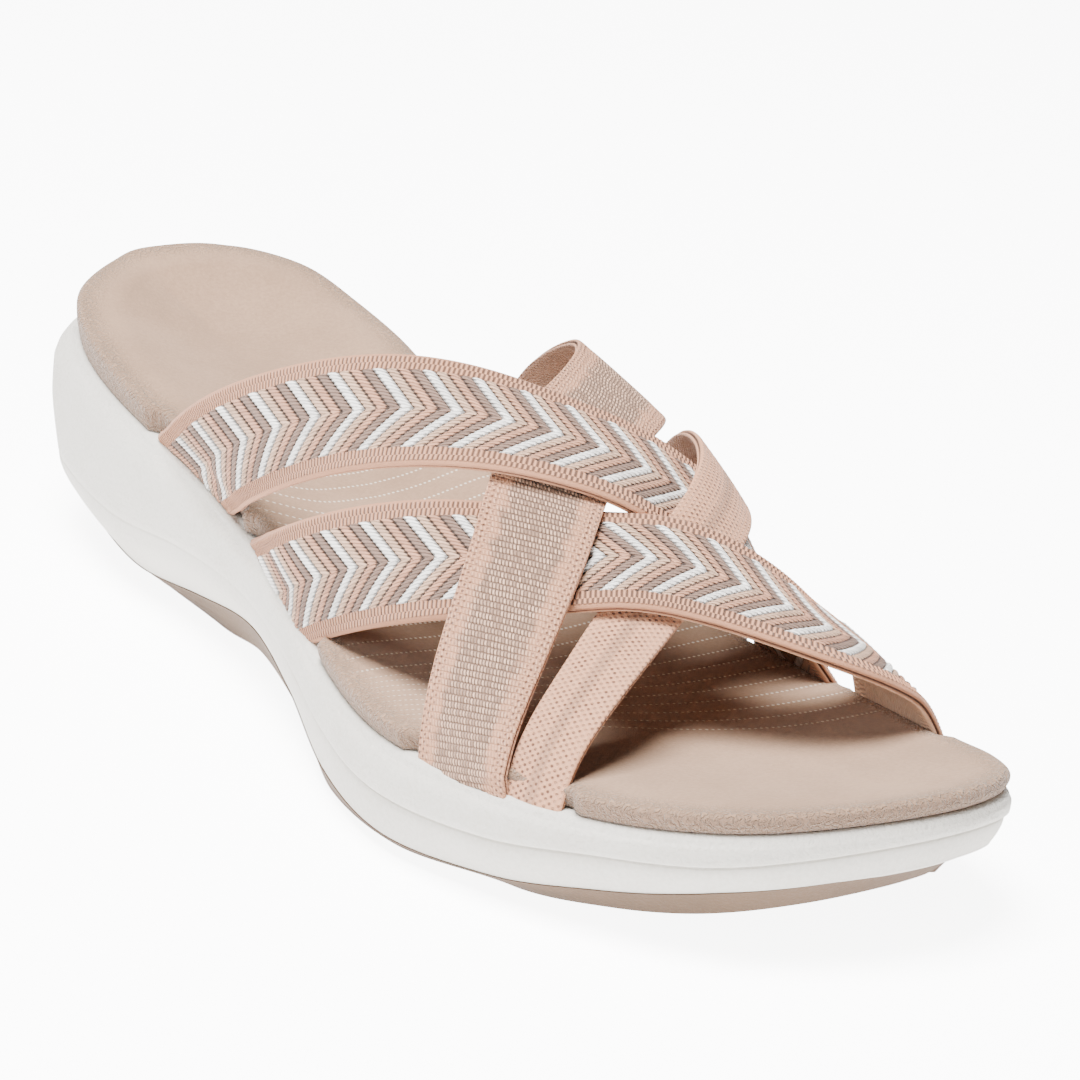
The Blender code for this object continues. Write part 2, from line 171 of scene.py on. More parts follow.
# %% The rim
LOOP_POINTS = 480
CURVE_STEPS = 40
HEEL_SHRINK = 0.16


def outline():
    """Rim outline from the heel back along the outer side to the toe tip and home along the inner side."""
    inside = STATIONS[1:-1]
    outer = [HEEL_BACK] + [(row[0], -row[1]) for row in inside] + [TOE_TIP]
    inner = [(row[0], row[2]) for row in reversed(inside)]
    stops = outer + inner
    half = LOOP_POINTS // 2
    curve = spline(stops, np.arange(len(stops) * CURVE_STEPS + 1) / CURVE_STEPS, closed=True)
    toe = (len(outer) - 1) * CURVE_STEPS
    return np.concatenate([even(curve[:toe + 1], half + 1)[:-1], even(curve[toe:], half + 1)[:-1]])


RIM = outline()
RIM_X = RIM[:, 0].copy()
AHEAD = np.roll(RIM, -1, axis=0) - np.roll(RIM, 1, axis=0)
AHEAD /= np.linalg.norm(AHEAD, axis=1)[:, None]
OUTWARD = np.stack([AHEAD[:, 1], -AHEAD[:, 0]], 1)
PARTNER = (-np.arange(LOOP_POINTS)) % LOOP_POINTS
MIDDLE = (RIM + RIM[PARTNER]) / 2
HEART = np.array([(HEEL_BACK[0] + TOE_TIP[0]) / 2, MIDDLE[:, 1].mean()])
INNER_SHARE = 0.5 + 0.5 * OUTWARD[:, 1]


def ring(offset, height, shrink=1.0):
    """Closed loop beside the rim: moved outwards by offset, then drawn in towards the middle line."""
    edge = RIM + OUTWARD * np.broadcast_to(offset, LOOP_POINTS)[:, None]
    core = HEART + (MIDDLE - HEART) * (1 - HEEL_SHRINK * (1 - shrink))
    plan = core + (edge - MIDDLE) * shrink
    if callable(height):
        height = height(plan[:, 0], shrink)
    return np.column_stack([plan, np.broadcast_to(height, LOOP_POINTS)])


def rim_height(x, shrink=1.0):
    """Height of the foam's rim: on the inner side it is higher at the waist and lower at the ball."""
    share = 0.5 + (INNER_SHARE - 0.5) * shrink
    return column("rim", x) + column("inner_lift", x) * share


RIM_LENGTH = np.linalg.norm(np.diff(RIM, axis=0), axis=1).sum()
print("rim", LOOP_POINTS, "points, length", round(float(RIM_LENGTH)), "mm")

# %% [markdown]
# ## Laying a grid
# In Blender a surface that follows a table can be lofted from curves or shrink-wrapped, but then its faces and
# its map are out of our hands. Here a grid primitive gives clean four-sided faces, and each of its points is
# moved to the place that the tables give for its row and column. Merging by distance then closes the seam where
# the first and last columns meet, and marks kept on the points tell the materials where they are on the piece.

# %% Grid helper
MERGE = 1e-6


def clear_selection():
    """Leave edit mode and let go of everything, because an operator acts on all that is selected."""
    if bpy.context.object and bpy.context.object.mode != "OBJECT":
        bpy.ops.object.mode_set(mode="OBJECT")
    bpy.ops.object.select_all(action="DESELECT")


def laid_grid(name, places, marks):
    """Piece from a grid primitive: rows of places round a closed loop, merged, closed and facing out."""
    places = np.concatenate([places, places[:, :1]], axis=1)
    rows, columns = places.shape[:2]
    clear_selection()
    bpy.ops.mesh.primitive_grid_add(x_subdivisions=columns - 1, y_subdivisions=rows - 1, size=1.0)
    piece = bpy.context.object
    piece.name = piece.data.name = name
    flat = np.empty(len(piece.data.vertices) * 3)
    piece.data.vertices.foreach_get("co", flat)
    flat = flat.reshape(-1, 3)
    j = np.rint((flat[:, 0] + 0.5) * (columns - 1)).astype(int)
    i = np.rint((flat[:, 1] + 0.5) * (rows - 1)).astype(int)
    shoe = (places[i, j] - (LENGTH_CENTRE, SIDE_CENTRE, 0)) * MM
    piece.data.vertices.foreach_set("co", shoe.ravel())
    for label, values in marks.items():
        values = np.concatenate([values, values[:, :1]], axis=1)[i, j]
        kind, field = ("FLOAT_VECTOR", "vector") if values.ndim == 2 else ("FLOAT", "value")
        layer = piece.data.attributes.new(label, kind, "POINT")
        layer.data.foreach_set(field, values.ravel())
    bpy.ops.object.mode_set(mode="EDIT")
    bpy.ops.mesh.select_all(action="SELECT")
    bpy.ops.mesh.remove_doubles(threshold=MERGE)
    bpy.ops.mesh.select_all(action="SELECT")
    bpy.ops.mesh.fill_holes(sides=0)
    bpy.ops.mesh.select_all(action="SELECT")
    bpy.ops.mesh.normals_make_consistent(inside=False)
    bpy.ops.object.mode_set(mode="OBJECT")
    bpy.ops.object.shade_smooth()
    piece.data.update()
    print(name, len(piece.data.polygons), "faces")
    return piece


print("grid helper ready")

# %% [markdown]
# ## The foam wedge
# The white wedge is one moulded block of foam. Its wall leans in to the tread, has a thin mould line half-way
# up round the toe and a soft fold low at the heel, swells above that and rolls over into a rounded rim. The
# wall is drawn as a run of loops from the tread to the rim. The mould line is real geometry: one loop is pushed
# in, so it keeps its shadow from every side.

# %% Foam wedge
RIM_ROUND = 1.4
BASE_ROUND = 0.3
CREASE_DROP = 0.9
CREASE_SHARE = 0.72
GROOVE_DEPTH = 0.7
GROOVE_LIP = 0.15
GROOVE_HEIGHTS = (0.3, 0.5)
LOWER_WALL = np.linspace(0.2, 0.97, 7)
UPPER_WALL = np.linspace(0.05, 0.97, 15)
PEBBLE_START = (-0.5, 0.8)
FLAT_SHARES = (0.9, 0.65, 0.4, 0.2, 0.0)
# height between crease and rim, share of the bulge there
BELLY = ((0.0, 0.72), (0.25, 0.95), (0.5, 1.1), (0.76, 1.05), (0.92, 0.62), (1.0, 0.0))
ROUND_TURNS = np.radians((0, 22, 45, 68, 90))


def wedge_loops():
    """Loops of the foam from its hidden underside up the wall, over the rim and in across its top."""
    tuck, bulge = column("tuck", RIM_X), column("bulge", RIM_X)
    base, crease, step = column("base", RIM_X), column("crease", RIM_X), column("step", RIM_X)
    rim = rim_height(RIM_X)
    fold, groove = bulge * CREASE_SHARE, step * GROOVE_DEPTH
    low = crease - CREASE_DROP

    def under(x, shrink):
        return column("base", x)

    loops = [ring(-tuck - BASE_ROUND, under, share) for share in reversed(FLAT_SHARES)]
    for turn in ROUND_TURNS:
        loops.append(ring(-tuck - BASE_ROUND * (1 - math.sin(turn)), base + BASE_ROUND * (1 - math.cos(turn))))
    for share in LOWER_WALL:
        out = -tuck + (fold - step + tuck) * math.sin(share * math.pi / 2)
        loops.append(ring(out, base + BASE_ROUND + (low - base - BASE_ROUND) * share))
    loops.append(ring(fold - step - GROOVE_LIP * groove, low))
    loops.append(ring(fold - step - groove, low + GROOVE_HEIGHTS[0]))
    loops.append(ring(fold - groove, low + GROOVE_HEIGHTS[1]))
    loops.append(ring(fold, crease))
    ups, outs = zip(*BELLY)
    for up in UPPER_WALL:
        loops.append(ring(bulge * glide(ups, outs, up), crease + (rim - RIM_ROUND - crease) * up))
    for turn in ROUND_TURNS:
        loops.append(ring(-RIM_ROUND * (1 - math.cos(turn)), rim - RIM_ROUND * (1 - math.sin(turn))))
    loops += [ring(-RIM_ROUND, rim_height, share) for share in FLAT_SHARES]
    return np.array(loops)


loops = wedge_loops()
upper_wall = ease(*PEBBLE_START, loops[:, :, 2] - column("crease", RIM_X)[None])
wedge = laid_grid("wedge_foam", loops, {"upper_wall": upper_wall})

# %% [markdown]
# ## The rubber tread
# The tan tread is a thin rubber layer under the forefoot and a thick one under the heel, where fine ribs run
# round its side. On the toe's inner side it stands back under the foam, and its top edge is sunk a little into
# the foam, so that no gap shows. Its underside is out of sight in the photo, so it gets a usual tread of
# shallow waves, cut upwards only: the lowest face stays on the ground. Waves are added to the heights of the
# loops, so no cutter is needed.

# %% Rubber tread
HEEL_RIBS = 3
RIB_DEPTH = 0.5
RIB_FADE_X = 100.0
RIB_ROWS = 24
WAVE_PITCH = 8.0
WAVE_SWING = 2.2
WAVE_LENGTH = 15.0
WAVE_DEPTH = 1.1
WAVE_EDGE = (0.16, 0.3)
TREAD_BORDER = (0.86, 0.93)
TREAD_LEDGE = 0.12
TREAD_SINK = 0.12
TOE_RECESS = 4.0
TOE_RECESS_X = (232.0, 252.0)
TOE_RECESS_SIDE = (0.1, 0.9)
TREAD_SHARES = np.linspace(0.0, 1.0, 31)


def tread_wave(plan, share):
    """Height of the shallow grooves cut up into the tread."""
    phase = (plan[:, 0] + WAVE_SWING * np.sin(2 * np.pi * plan[:, 1] / WAVE_LENGTH)) / WAVE_PITCH
    groove = 1 - ease(*WAVE_EDGE, np.abs(phase % 1 - 0.5))
    return WAVE_DEPTH * groove * (1 - float(ease(*TREAD_BORDER, share)))


def tread_loops():
    """Loops of the rubber from its underside up its ribbed side and in across its hidden top."""
    tuck, tread = column("tuck", RIM_X), column("tread_tuck", RIM_X)
    recess = TOE_RECESS * ease(*TOE_RECESS_X, RIM_X) * ease(*TOE_RECESS_SIDE, INNER_SHARE)
    place = RIM_X - OUTWARD[:, 0] * recess
    base, ground = column("base", place), column("ground", place)
    fade = np.clip(1 - RIM_X / RIB_FADE_X, 0, 1)
    reach = OUTWARD[:, 0] * tread
    tuck, tread = tuck + recess, tread + recess
    shared = (reach + reach[PARTNER]) / 2
    loops = []

    def under(x, shrink):
        return column("ground", x + shared + (reach - shared) * shrink)

    def over(x, shrink):
        return column("base", x) + TREAD_SINK

    for share in TREAD_SHARES:
        loop = ring(-tread, under, share)
        loop[:, 2] += tread_wave(loop, share)
        loops.append(loop)
    for k in range(1, RIB_ROWS):
        share = k / RIB_ROWS
        rib = RIB_DEPTH * fade * (0.5 - 0.5 * math.cos(2 * math.pi * HEEL_RIBS * share))
        loops.append(ring(-tread + (tread - tuck) * share - rib, ground + (base - ground) * share))
    loops.append(ring(TREAD_LEDGE - tuck, base))
    loops.append(ring(-BASE_ROUND - tuck, base + TREAD_SINK))
    loops += [ring(-BASE_ROUND - tuck, over, share) for share in FLAT_SHARES]
    return np.array(loops)


loops = tread_loops()
tread = laid_grid("tread_rubber", loops, {})

# %% [markdown]
# ## Where the straps run
# Each strap is a ribbon laid over the foot: a row gives the middle of the strap, how far it leans about its own
# length and its width, from its outer foot to its inner foot. Where two ribbons cross, rays cast from one to
# the other say how far apart they are. Both are drawn together until one lies on the other, and the shift eases
# off along the straps. The rows follow the photo, and the inner ends of the plain and narrow straps lie some
# millimetres off their solids.

# %% Strap paths
# one row of a strap: x, y and z of its middle, its lean in degrees, its width
STRAPS = {
    "rear": (
        (74, -29.8, 28, -54, 22),
        (99, -38.5, 43.1, -42, 22),
        (124, -39, 56.9, -30, 22),
        (146, -32, 65.8, -22, 22),
        (163.5, -18.5, 67, -14, 22),
        (175, -2, 61, -21, 22),
        (180.5, 13.5, 50, -29, 22),
        (183.5, 25.4, 35.2, -15.2, 22),
        (185.7, 34.2, 18.2, 5.8, 22),
    ),
    "front": (
        (113.5, -35, 19, -20, 23),
        (132, -42.5, 29, -19, 22),
        (150.5, -42.5, 39, -18, 22),
        (168, -36.5, 46.5, -15, 22),
        (182.5, -24, 50, -13, 22),
        (197.4, -3.6, 49.9, -19.8, 22),
        (210.5, 15.2, 41.3, -19.6, 22),
        (211.6, 29.9, 31.9, -6.6, 22),
        (211.9, 36.2, 19.2, 4.4, 22),
    ),
    "plain": (
        (202, -51, 9.5, -6, 20.5),
        (196.5, -46, 25, -12, 20.5),
        (190, -37, 39.5, -19, 20.5),
        (181.5, -25, 53, -22, 20.5),
        (169, -10, 63.5, -25, 20.5),
        (156.3, 9, 67.2, -19, 20.5),
        (139.3, 21, 63, -28, 20.5),
        (118.5, 22, 48.5, -46, 20.5),
        (102, 21, 26.5, -54, 20.5),
    ),
    "narrow": (
        (213.6, -46, 13.5, -20, 12.2),
        (211.3, -41, 28, -20, 12.3),
        (206.6, -29, 38, -20, 12.9),
        (198.8, -13, 45, -25, 13.2),
        (190.5, 5, 52.7, -27, 13.5),
        (178, 20.5, 56.3, -24, 14),
        (158.5, 28.7, 51.5, -38, 14),
        (143.5, 30.5, 38, -46, 14),
        (140, 23.6, 19.5, -30, 14),
    ),
}
# where two straps cross: the one on top, the one beneath
CROSSINGS = (("rear", "plain"), ("narrow", "rear"), ("plain", "front"), ("front", "narrow"),
             ("plain", "narrow"))
STRAP_THICKNESS = 1.7
STRAP_SEPARATION = 2.9
STRAP_CUP = 0.5
PATH_ROWS = 89
PATH_COLUMNS = 9
RELAX_STEPS = 640
SMOOTH_STEPS = 12
CROSS_REACH = 14.0
FORM_AXIS_Z = 12.0


def strap_path(rows):
    """Points and outward directions over a strap's outer face, and the distance along and width at each row."""
    fine = spline(np.array(rows, float), np.linspace(0, len(rows) - 1, len(rows) * CURVE_STEPS))
    run = even(fine, PATH_ROWS)
    centre, lean, width = run[:, :3], np.radians(run[:, 3]), run[:, 4]
    ahead = np.gradient(centre, axis=0)
    ahead /= np.linalg.norm(ahead, axis=1)[:, None]
    out = np.column_stack([np.zeros(len(centre)), centre[:, 1], centre[:, 2] - FORM_AXIS_Z])
    out -= (out * ahead).sum(axis=1)[:, None] * ahead
    out /= np.linalg.norm(out, axis=1)[:, None]
    across = np.cross(ahead, out)
    turn, rise = np.cos(lean)[:, None], np.sin(lean)[:, None]
    normal = turn * out - rise * across
    across = turn * across + rise * out
    share = np.linspace(-0.5, 0.5, PATH_COLUMNS)
    grid = (centre[:, None] + across[:, None] * (width[:, None] * share)[:, :, None]
            - normal[:, None] * (STRAP_CUP * (2 * share) ** 2)[None, :, None])
    step = np.linalg.norm(np.diff(centre, axis=0), axis=1)
    return grid, np.repeat(normal[:, None], PATH_COLUMNS, axis=1), np.concatenate([[0], np.cumsum(step)]), width


def neighbours_mean(field):
    """Mean of the four neighbours at each place of a grid of values."""
    spread = np.pad(field, 1, mode="edge")
    return (spread[:-2, 1:-1] + spread[2:, 1:-1] + spread[1:-1, :-2] + spread[1:-1, 2:]) / 4


def draw_together(paths):
    """Bring the straps to lie one on the other at each crossing, easing off along each strap."""
    faces = [(a, a + PATH_COLUMNS, a + PATH_COLUMNS + 1, a + 1) for i in range(PATH_ROWS - 1)
             for a in range(i * PATH_COLUMNS, i * PATH_COLUMNS + PATH_COLUMNS - 1)]
    trees = {name: BVHTree.FromPolygons([Vector(p) for p in path[0].reshape(-1, 3)], faces)
             for name, path in paths.items()}
    moved = {}
    for name, (grid, normal, along, width) in paths.items():
        shift = np.zeros((PATH_ROWS, PATH_COLUMNS))
        held = np.zeros((PATH_ROWS, PATH_COLUMNS), bool)
        held[0] = held[-1] = True
        for top, beneath in CROSSINGS:
            if name not in (top, beneath):
                continue
            other, side = (beneath, 1) if name == top else (top, -1)
            for i, j in np.ndindex(PATH_ROWS, PATH_COLUMNS):
                start, line = Vector(grid[i, j]), Vector(normal[i, j])
                for way in (1, -1):
                    hit = trees[other].ray_cast(start, line * way, CROSS_REACH)
                    if hit[0] is not None:
                        shift[i, j] = (hit[3] * way + side * STRAP_SEPARATION) / 2
                        held[i, j] = True
        for step in range(RELAX_STEPS):
            shift = np.where(held, shift, neighbours_mean(shift))
        for step in range(SMOOTH_STEPS):
            shift = (shift + neighbours_mean(shift)) / 2
        moved[name] = grid + normal * shift[:, :, None]
    return moved


PATHS = {name: strap_path(rows) for name, rows in STRAPS.items()}
SKINS = draw_together(PATHS)
for name, path in PATHS.items():
    print("strap", name, round(float(path[2][-1])), "mm long")

# %% [markdown]
# ## The footbed
# The footbed is a foam pad covered in suede-like cloth: a full rolled edge all round, a cupped heel and a
# shallow bed. It gives way a little where a strap comes down beside it. A cushion like this could be inflated
# by a cloth simulation, but its shape is moulded and firm, so its loops are drawn: up the side, round the roll
# and down into the bed.

# %% Footbed
INSOLE_INSET = 0.6
EDGE_ROUND = 1.2
EDGE_ROLL = 6.0
SIDE_SWELL = 0.3
UNDERCUT = 0.5
SIDE_SHARES = np.linspace(0.0, 0.9, 6)
ROLL_TURNS = np.radians(np.linspace(8, 90, 8))
STRAP_DENT = 2.2
DENT_NEAR = 2.0
DENT_FAR = 3.6
BED_SHARES = (0.97, 0.8, 0.6, 0.35, 0.0)
BED_STEPS = 6
BED_DIP = 0.85
BED_FLATNESS = 1.5


def strap_dent():
    """Share of the footbed's edge that gives way to a strap, at each point of the rim."""
    seat = np.column_stack([RIM, rim_height(RIM_X) + EDGE_ROUND])
    spots = np.concatenate([skin.reshape(-1, 3) for skin in SKINS.values()])
    apart = np.linalg.norm(seat[:, None] - spots[None], axis=2).min(axis=1)
    return 1 - ease(DENT_NEAR, DENT_FAR, apart)


def footbed_loops():
    """Loops of the footbed, and a mark on each: 2 on the side, 1 on the rolled edge, 0 on the bed."""
    rim, lift = rim_height(RIM_X), column("edge_lift", RIM_X)
    side = -INSOLE_INSET - STRAP_DENT * strap_dent()
    inside = -INSOLE_INSET - EDGE_ROLL

    def under(x, shrink):
        return rim_height(x, shrink) + GAP

    def bed(x, shrink):
        dip = BED_DIP * column("hollow", x) * (1 - shrink ** 2) ** BED_FLATNESS
        return rim_height(x, shrink) + column("edge_lift", x) - dip

    loops = [ring(side - UNDERCUT, under, share) for share in reversed(FLAT_SHARES)]
    wall = lift - EDGE_ROUND - GAP
    for share in SIDE_SHARES:
        swell = (UNDERCUT + SIDE_SWELL) * math.sin(share * math.pi / 2)
        loops.append(ring(side - UNDERCUT + swell, rim + GAP + wall * share))
    roll = []
    for turn in ROLL_TURNS:
        roll.append(ring(side + SIDE_SWELL - (EDGE_ROUND + SIDE_SWELL) * (1 - math.cos(turn)),
                         rim + lift - EDGE_ROUND * (1 - math.sin(turn))))
    stops = [roll[-2], roll[-1]] + [ring(inside, bed, share) for share in BED_SHARES]
    places = np.arange(BED_STEPS, (len(stops) - 1) * BED_STEPS + 1) / BED_STEPS
    top = spline(np.array(stops).reshape(len(stops), -1), places).reshape(len(places), LOOP_POINTS, 3)
    edge = np.concatenate([np.full(len(loops), 2.0), np.linspace(2.0, 1.0, len(roll))[:-1],
                           1 - ease(1.0, 2.0, places)])
    return np.concatenate([np.array(loops + roll[:-1]), top]), np.repeat(edge[:, None], LOOP_POINTS, axis=1)


loops, edge = footbed_loops()
footbed = laid_grid("footbed_pad", loops, {"rolled_edge": edge})

# %% [markdown]
# ## Weaving the straps
# A strap is a doubled band of elastic: two thin layers with a narrow groove between them along each edge. Its
# section is drawn once as a loop, across the outer face, down one edge, back across the inside and up the other
# edge, and the loop follows the strap's path. The chevron cords are raised on the outer face as real relief.
# They are lines at 45 degrees to the strap that meet on its middle line, so the distance along the strap plus
# the distance from the middle tells which cord a point is on. Elastic stretches a little where it is pulled, so
# the length of a repeat is a table.

# %% Chevron cords
CORD_COUNT = 4
CORD_HEIGHT = 0.52
WHITE_FULLNESS = 1.3
BEAD_PITCH = 1.05
BEAD_SLANT = 0.4
BEAD_LOW = 0.82
BEAD_RISE = 0.18
CORD_STEP = 0.25
CORD_MARGIN = 10
# distance along the strap, length of one repeat of four cords there
CORD_REPEATS = {
    "rear": ((0, 13.8), (30, 13.2), (60, 11.3), (90, 9.6), (120, 8.4), (140, 8.2), (190, 9.5)),
    "front": ((0, 11.5), (30, 10.9), (50, 10.1), (80, 9.2), (105, 8.6), (125, 8.0), (165, 8.8)),
}
# a place where the middle of a white cord crosses the middle line
WHITE_CORD_AT = {"rear": 97.2, "front": 102.4}


def cord_number(name, along):
    """Cords counted along the strap: the whole part says which cord, the rest how far across it."""
    if name not in CORD_REPEATS:
        return np.zeros_like(along)
    steps = np.arange(0, along.max() + 1, CORD_STEP)
    places, repeats = zip(*CORD_REPEATS[name])
    count = np.concatenate([[0], np.cumsum(CORD_STEP / glide(places, repeats, steps))[:-1]])
    start = np.interp(WHITE_CORD_AT[name], steps, count) - CORD_MARGIN
    return (np.interp(along, steps, count) - start) * CORD_COUNT + 0.5


def cord_relief(name, along, span):
    """Height of beaded cords with narrow gaps between them."""
    cord = cord_number(name, along + span)
    side = 2 * (cord % 1) - 1
    bead = 0.5 + 0.5 * np.cos(2 * np.pi * (span * math.sqrt(2) / BEAD_PITCH + BEAD_SLANT * side
                                           + 0.5 * np.floor(cord)))
    fullness = np.where(np.floor(cord) % CORD_COUNT == 0, WHITE_FULLNESS, 1.0)
    full = BEAD_LOW + BEAD_RISE * bead
    crown = np.sqrt(np.clip(1 - (side / full) ** 2, 0, 1))
    return CORD_HEIGHT * fullness * crown * full


print("cords on the rear strap", int(np.ptp(cord_number("rear", np.array([0.0, 185.0])))))

# %% [markdown]
# ## Relief of bindings and bands
# The chevron straps are bound along both edges: two rows of short ribs, set half a rib apart, and a smooth
# rolled edge. The plain band has fine rows across it and the narrow band small stitches. All of this is low
# relief, less than half a millimetre, and is added to the outer face along its normals.

# %% Relief of a strap's outer face
CHEVRON_HALF = 11.0
BAND_HALF = 7.7
BAND_BLUR = 0.25
BINDING_SPLIT = 9.15
BINDING_ROLL = 10.35
ROLL_BLUR = 0.2
SEAM_DEPTH = 0.5
SEAM_WIDTH = 0.16
BINDING_HEIGHT = 0.34
RIB_LOW = 0.78
RIB_RISE = 0.22
RIB_PITCH = 0.9
ROW_PITCH = 1.15
ROW_SLANT = 0.06
ROW_HEIGHT = 0.09
ROW_FADE = 0.6
ROW_FADE_SPAN = (6.0, 7.2)
KNIT_PITCH = 1.25
KNIT_ROW = 0.85
KNIT_HEIGHT = 0.06


def chevron_relief(name, along, across):
    """Cords between two bindings."""
    span = np.abs(across)
    rib = np.cos(2 * np.pi * (along / RIB_PITCH + 0.5 * (span > BINDING_SPLIT)))
    ribbed = 1 - ease(BINDING_ROLL - ROLL_BLUR, BINDING_ROLL + ROLL_BLUR, span)
    seam = 1 - SEAM_DEPTH * np.exp(-((span - BINDING_SPLIT) / SEAM_WIDTH) ** 2)
    binding = BINDING_HEIGHT * (RIB_LOW + RIB_RISE * rib * ribbed) * seam
    share = ease(BAND_HALF - BAND_BLUR, BAND_HALF + BAND_BLUR, span)
    return cord_relief(name, along, span) * (1 - share) + binding * share


def plain_relief(name, along, across):
    """Fine rows across the plain band."""
    rows = np.cos(2 * np.pi * (along / ROW_PITCH + ROW_SLANT * across))
    return ROW_HEIGHT * rows * (1 - ROW_FADE * ease(*ROW_FADE_SPAN, np.abs(across)))


def narrow_relief(name, along, across):
    """Small stitches of the narrow band."""
    return KNIT_HEIGHT * np.cos(2 * np.pi * along / KNIT_PITCH) * np.cos(np.pi * across / KNIT_PITCH)


print("binding", round(CHEVRON_HALF - BAND_HALF, 1), "mm wide on each side")

# %% [markdown]
# ## Building a strap
# Every line along a strap is trimmed where it goes into the joint between footbed and foam, so a strap's end
# follows the rim. Lines a little to the left and right of each line give the direction across, and the cross
# product with the direction along gives the way out. Marks keep each point's distance along, across and inside,
# and its cord.

# %% Strap builder
# one row per point down a strap's edge: how far in from the widest place, how far below the outer face
STRAP_EDGE = ((0.4, 0.02), (0.12, 0.16), (0.0, 0.42), (0.1, 0.66), (0.55, 0.8),
              (0.55, 0.94), (0.2, 1.06), (0.1, 1.3), (0.2, 1.54), (0.5, 1.68))
STRAP_SEAT = 0.6
INSIDE_STEP = 1.1
TILT_STEP = 0.02
TUCK_IN = 0.4
TUCK_LOW = 0.8
TUCK_HIGH = 10.0
TUCK_BATCH = 2000
FOOT_STEPS = 6


def seat_height(points):
    """Height a little below the foam's rim under each point, where a strap is tucked in."""
    x, y = points[..., 0], points[..., 1]
    outer, inner = -column("outer", x), column("inner", x)
    share = np.clip((y - outer) / np.maximum(inner - outer, 1.0), 0, 1)
    return column("rim", x) + column("inner_lift", x) * share - STRAP_SEAT


def tuck_in(points):
    """Ease a strap inwards near the rim, so that it goes down just inside the foam's edge."""
    lift = points[:, :, 2] - seat_height(points)
    low = lift < TUCK_HIGH
    spots = points[low]
    near = np.concatenate([((part[:, None, :2] - RIM[None]) ** 2).sum(axis=2).argmin(axis=1)
                           for part in np.array_split(spots, 1 + len(spots) // TUCK_BATCH)])
    out = ((spots[:, :2] - RIM[near]) * OUTWARD[near]).sum(axis=1)
    move = np.maximum(0, out + TUCK_IN) * (1 - ease(TUCK_LOW, TUCK_HIGH, lift[low]))
    points = points.copy()
    points[low, :2] -= OUTWARD[near] * move[:, None]
    return points


def foot_rows(curve, count):
    """Row places of one line along a strap between the two places where it goes into the rim."""
    places = np.linspace(0, PATH_ROWS - 1, PATH_ROWS * FOOT_STEPS)
    line = spline(curve, places)
    clear = np.nonzero(line[:, 2] > seat_height(line))[0]
    return np.linspace(places[clear[0]], places[clear[-1]], count)


def make_strap(name, relief, fine_along, fine_across):
    """One strap as a closed band with its relief and marks."""
    grid, (normal, along, width) = SKINS[name], PATHS[name][1:]
    half = width.mean() / 2
    outer_count = 2 * int(round(half / fine_across)) + 1
    inner_count = 2 * int(round(half / INSIDE_STEP)) + 1
    inset, depth = np.array(STRAP_EDGE).T
    lip = 1 - inset / half
    share = np.concatenate([np.linspace(-lip[0], lip[0], outer_count)[1:-1], lip,
                            np.linspace(lip[-1], -lip[-1], inner_count)[1:-1], -lip[::-1]])
    deep = np.concatenate([np.zeros(outer_count - 2), depth,
                           np.full(inner_count - 2, STRAP_THICKNESS), depth[::-1]])
    rows = int(round(along[-1] / fine_along))
    columns = grid.transpose(1, 0, 2).reshape(PATH_COLUMNS, -1)

    def lines(shares):
        middle = (PATH_COLUMNS - 1) / 2
        return spline(columns, (shares + 1) * middle).reshape(len(shares), PATH_ROWS, 3)

    runs = [foot_rows(curve, rows) for curve in lines(share)]
    face, left, right = [
        tuck_in(np.stack([spline(curve, run) for curve, run in zip(lines(share + tilt), runs)], 1))
        for tilt in (0, -TILT_STEP, TILT_STEP)]
    out = np.cross(right - left, np.gradient(face, axis=0))
    out /= np.linalg.norm(out, axis=2)[:, :, None]
    runs = np.array(runs).T
    distance = np.interp(runs, np.arange(PATH_ROWS), along)
    offset = share[None] * np.interp(runs, np.arange(PATH_ROWS), width) / 2
    height = np.where(deep[None] == 0, relief(name, distance, offset), 0.0) - deep[None]
    inside = np.broadcast_to(deep[None] / STRAP_THICKNESS, distance.shape)
    return laid_grid("strap_" + name, face + out * height[:, :, None],
                     {"weave": np.stack([distance, offset, inside], 2),
                      "cord": cord_number(name, distance + np.abs(offset))})


# relief of each strap, size of a face along it and across it
WEAVES = {"rear": (chevron_relief, 0.25, 0.28), "front": (chevron_relief, 0.25, 0.28),
          "plain": (plain_relief, 0.27, 0.5), "narrow": (narrow_relief, 0.27, 0.35)}
straps = {name: make_strap(name, *weave) for name, weave in WEAVES.items()}

# %% [markdown]
# ## A short way to place nodes
# The finishes are node graphs. Placing and linking nodes one by one makes long code, so two small helpers stand
# in. A `Weaver` adds a node, sets its values and joins what is handed to it. A `Value` is one output, which is
# added, taken away, multiplied and divided like a number, and each sign adds a math node. Every pattern reads
# either the shoe's own coordinates or the marks that were kept on the pieces, so it stays on the surface from
# every side.

# %% Values on a node graph
def sign(operation):
    """Method for one sign of arithmetic, which adds a math node."""
    return lambda self, other: self.does(operation, other)


class Value:
    """One output of a node, with the signs of arithmetic on it."""

    def __init__(self, weaver, socket):
        self.weaver, self.socket = weaver, socket

    def does(self, operation, *others):
        return self.weaver.math(operation, self, *others)

    __add__ = __radd__ = sign("ADD")
    __mul__ = __rmul__ = sign("MULTIPLY")
    __sub__, __truediv__ = sign("SUBTRACT"), sign("DIVIDE")

    def __rsub__(self, other):
        return self.weaver.math("SUBTRACT", other, self)

    def __abs__(self):
        return self.does("ABSOLUTE")

    def step(self, low, high):
        """Soft step from 0 at low to 1 at high."""
        return self.weaver.put("ShaderNodeMapRange", {"Value": self, "From Min": low, "From Max": high},
                               "Result", interpolation_type="SMOOTHSTEP")

    def wave(self):
        """0 where the value is whole, 1 half-way to the next."""
        return self.does("PINGPONG", 0.5) * 2.0


print("a value takes + - * / and abs")

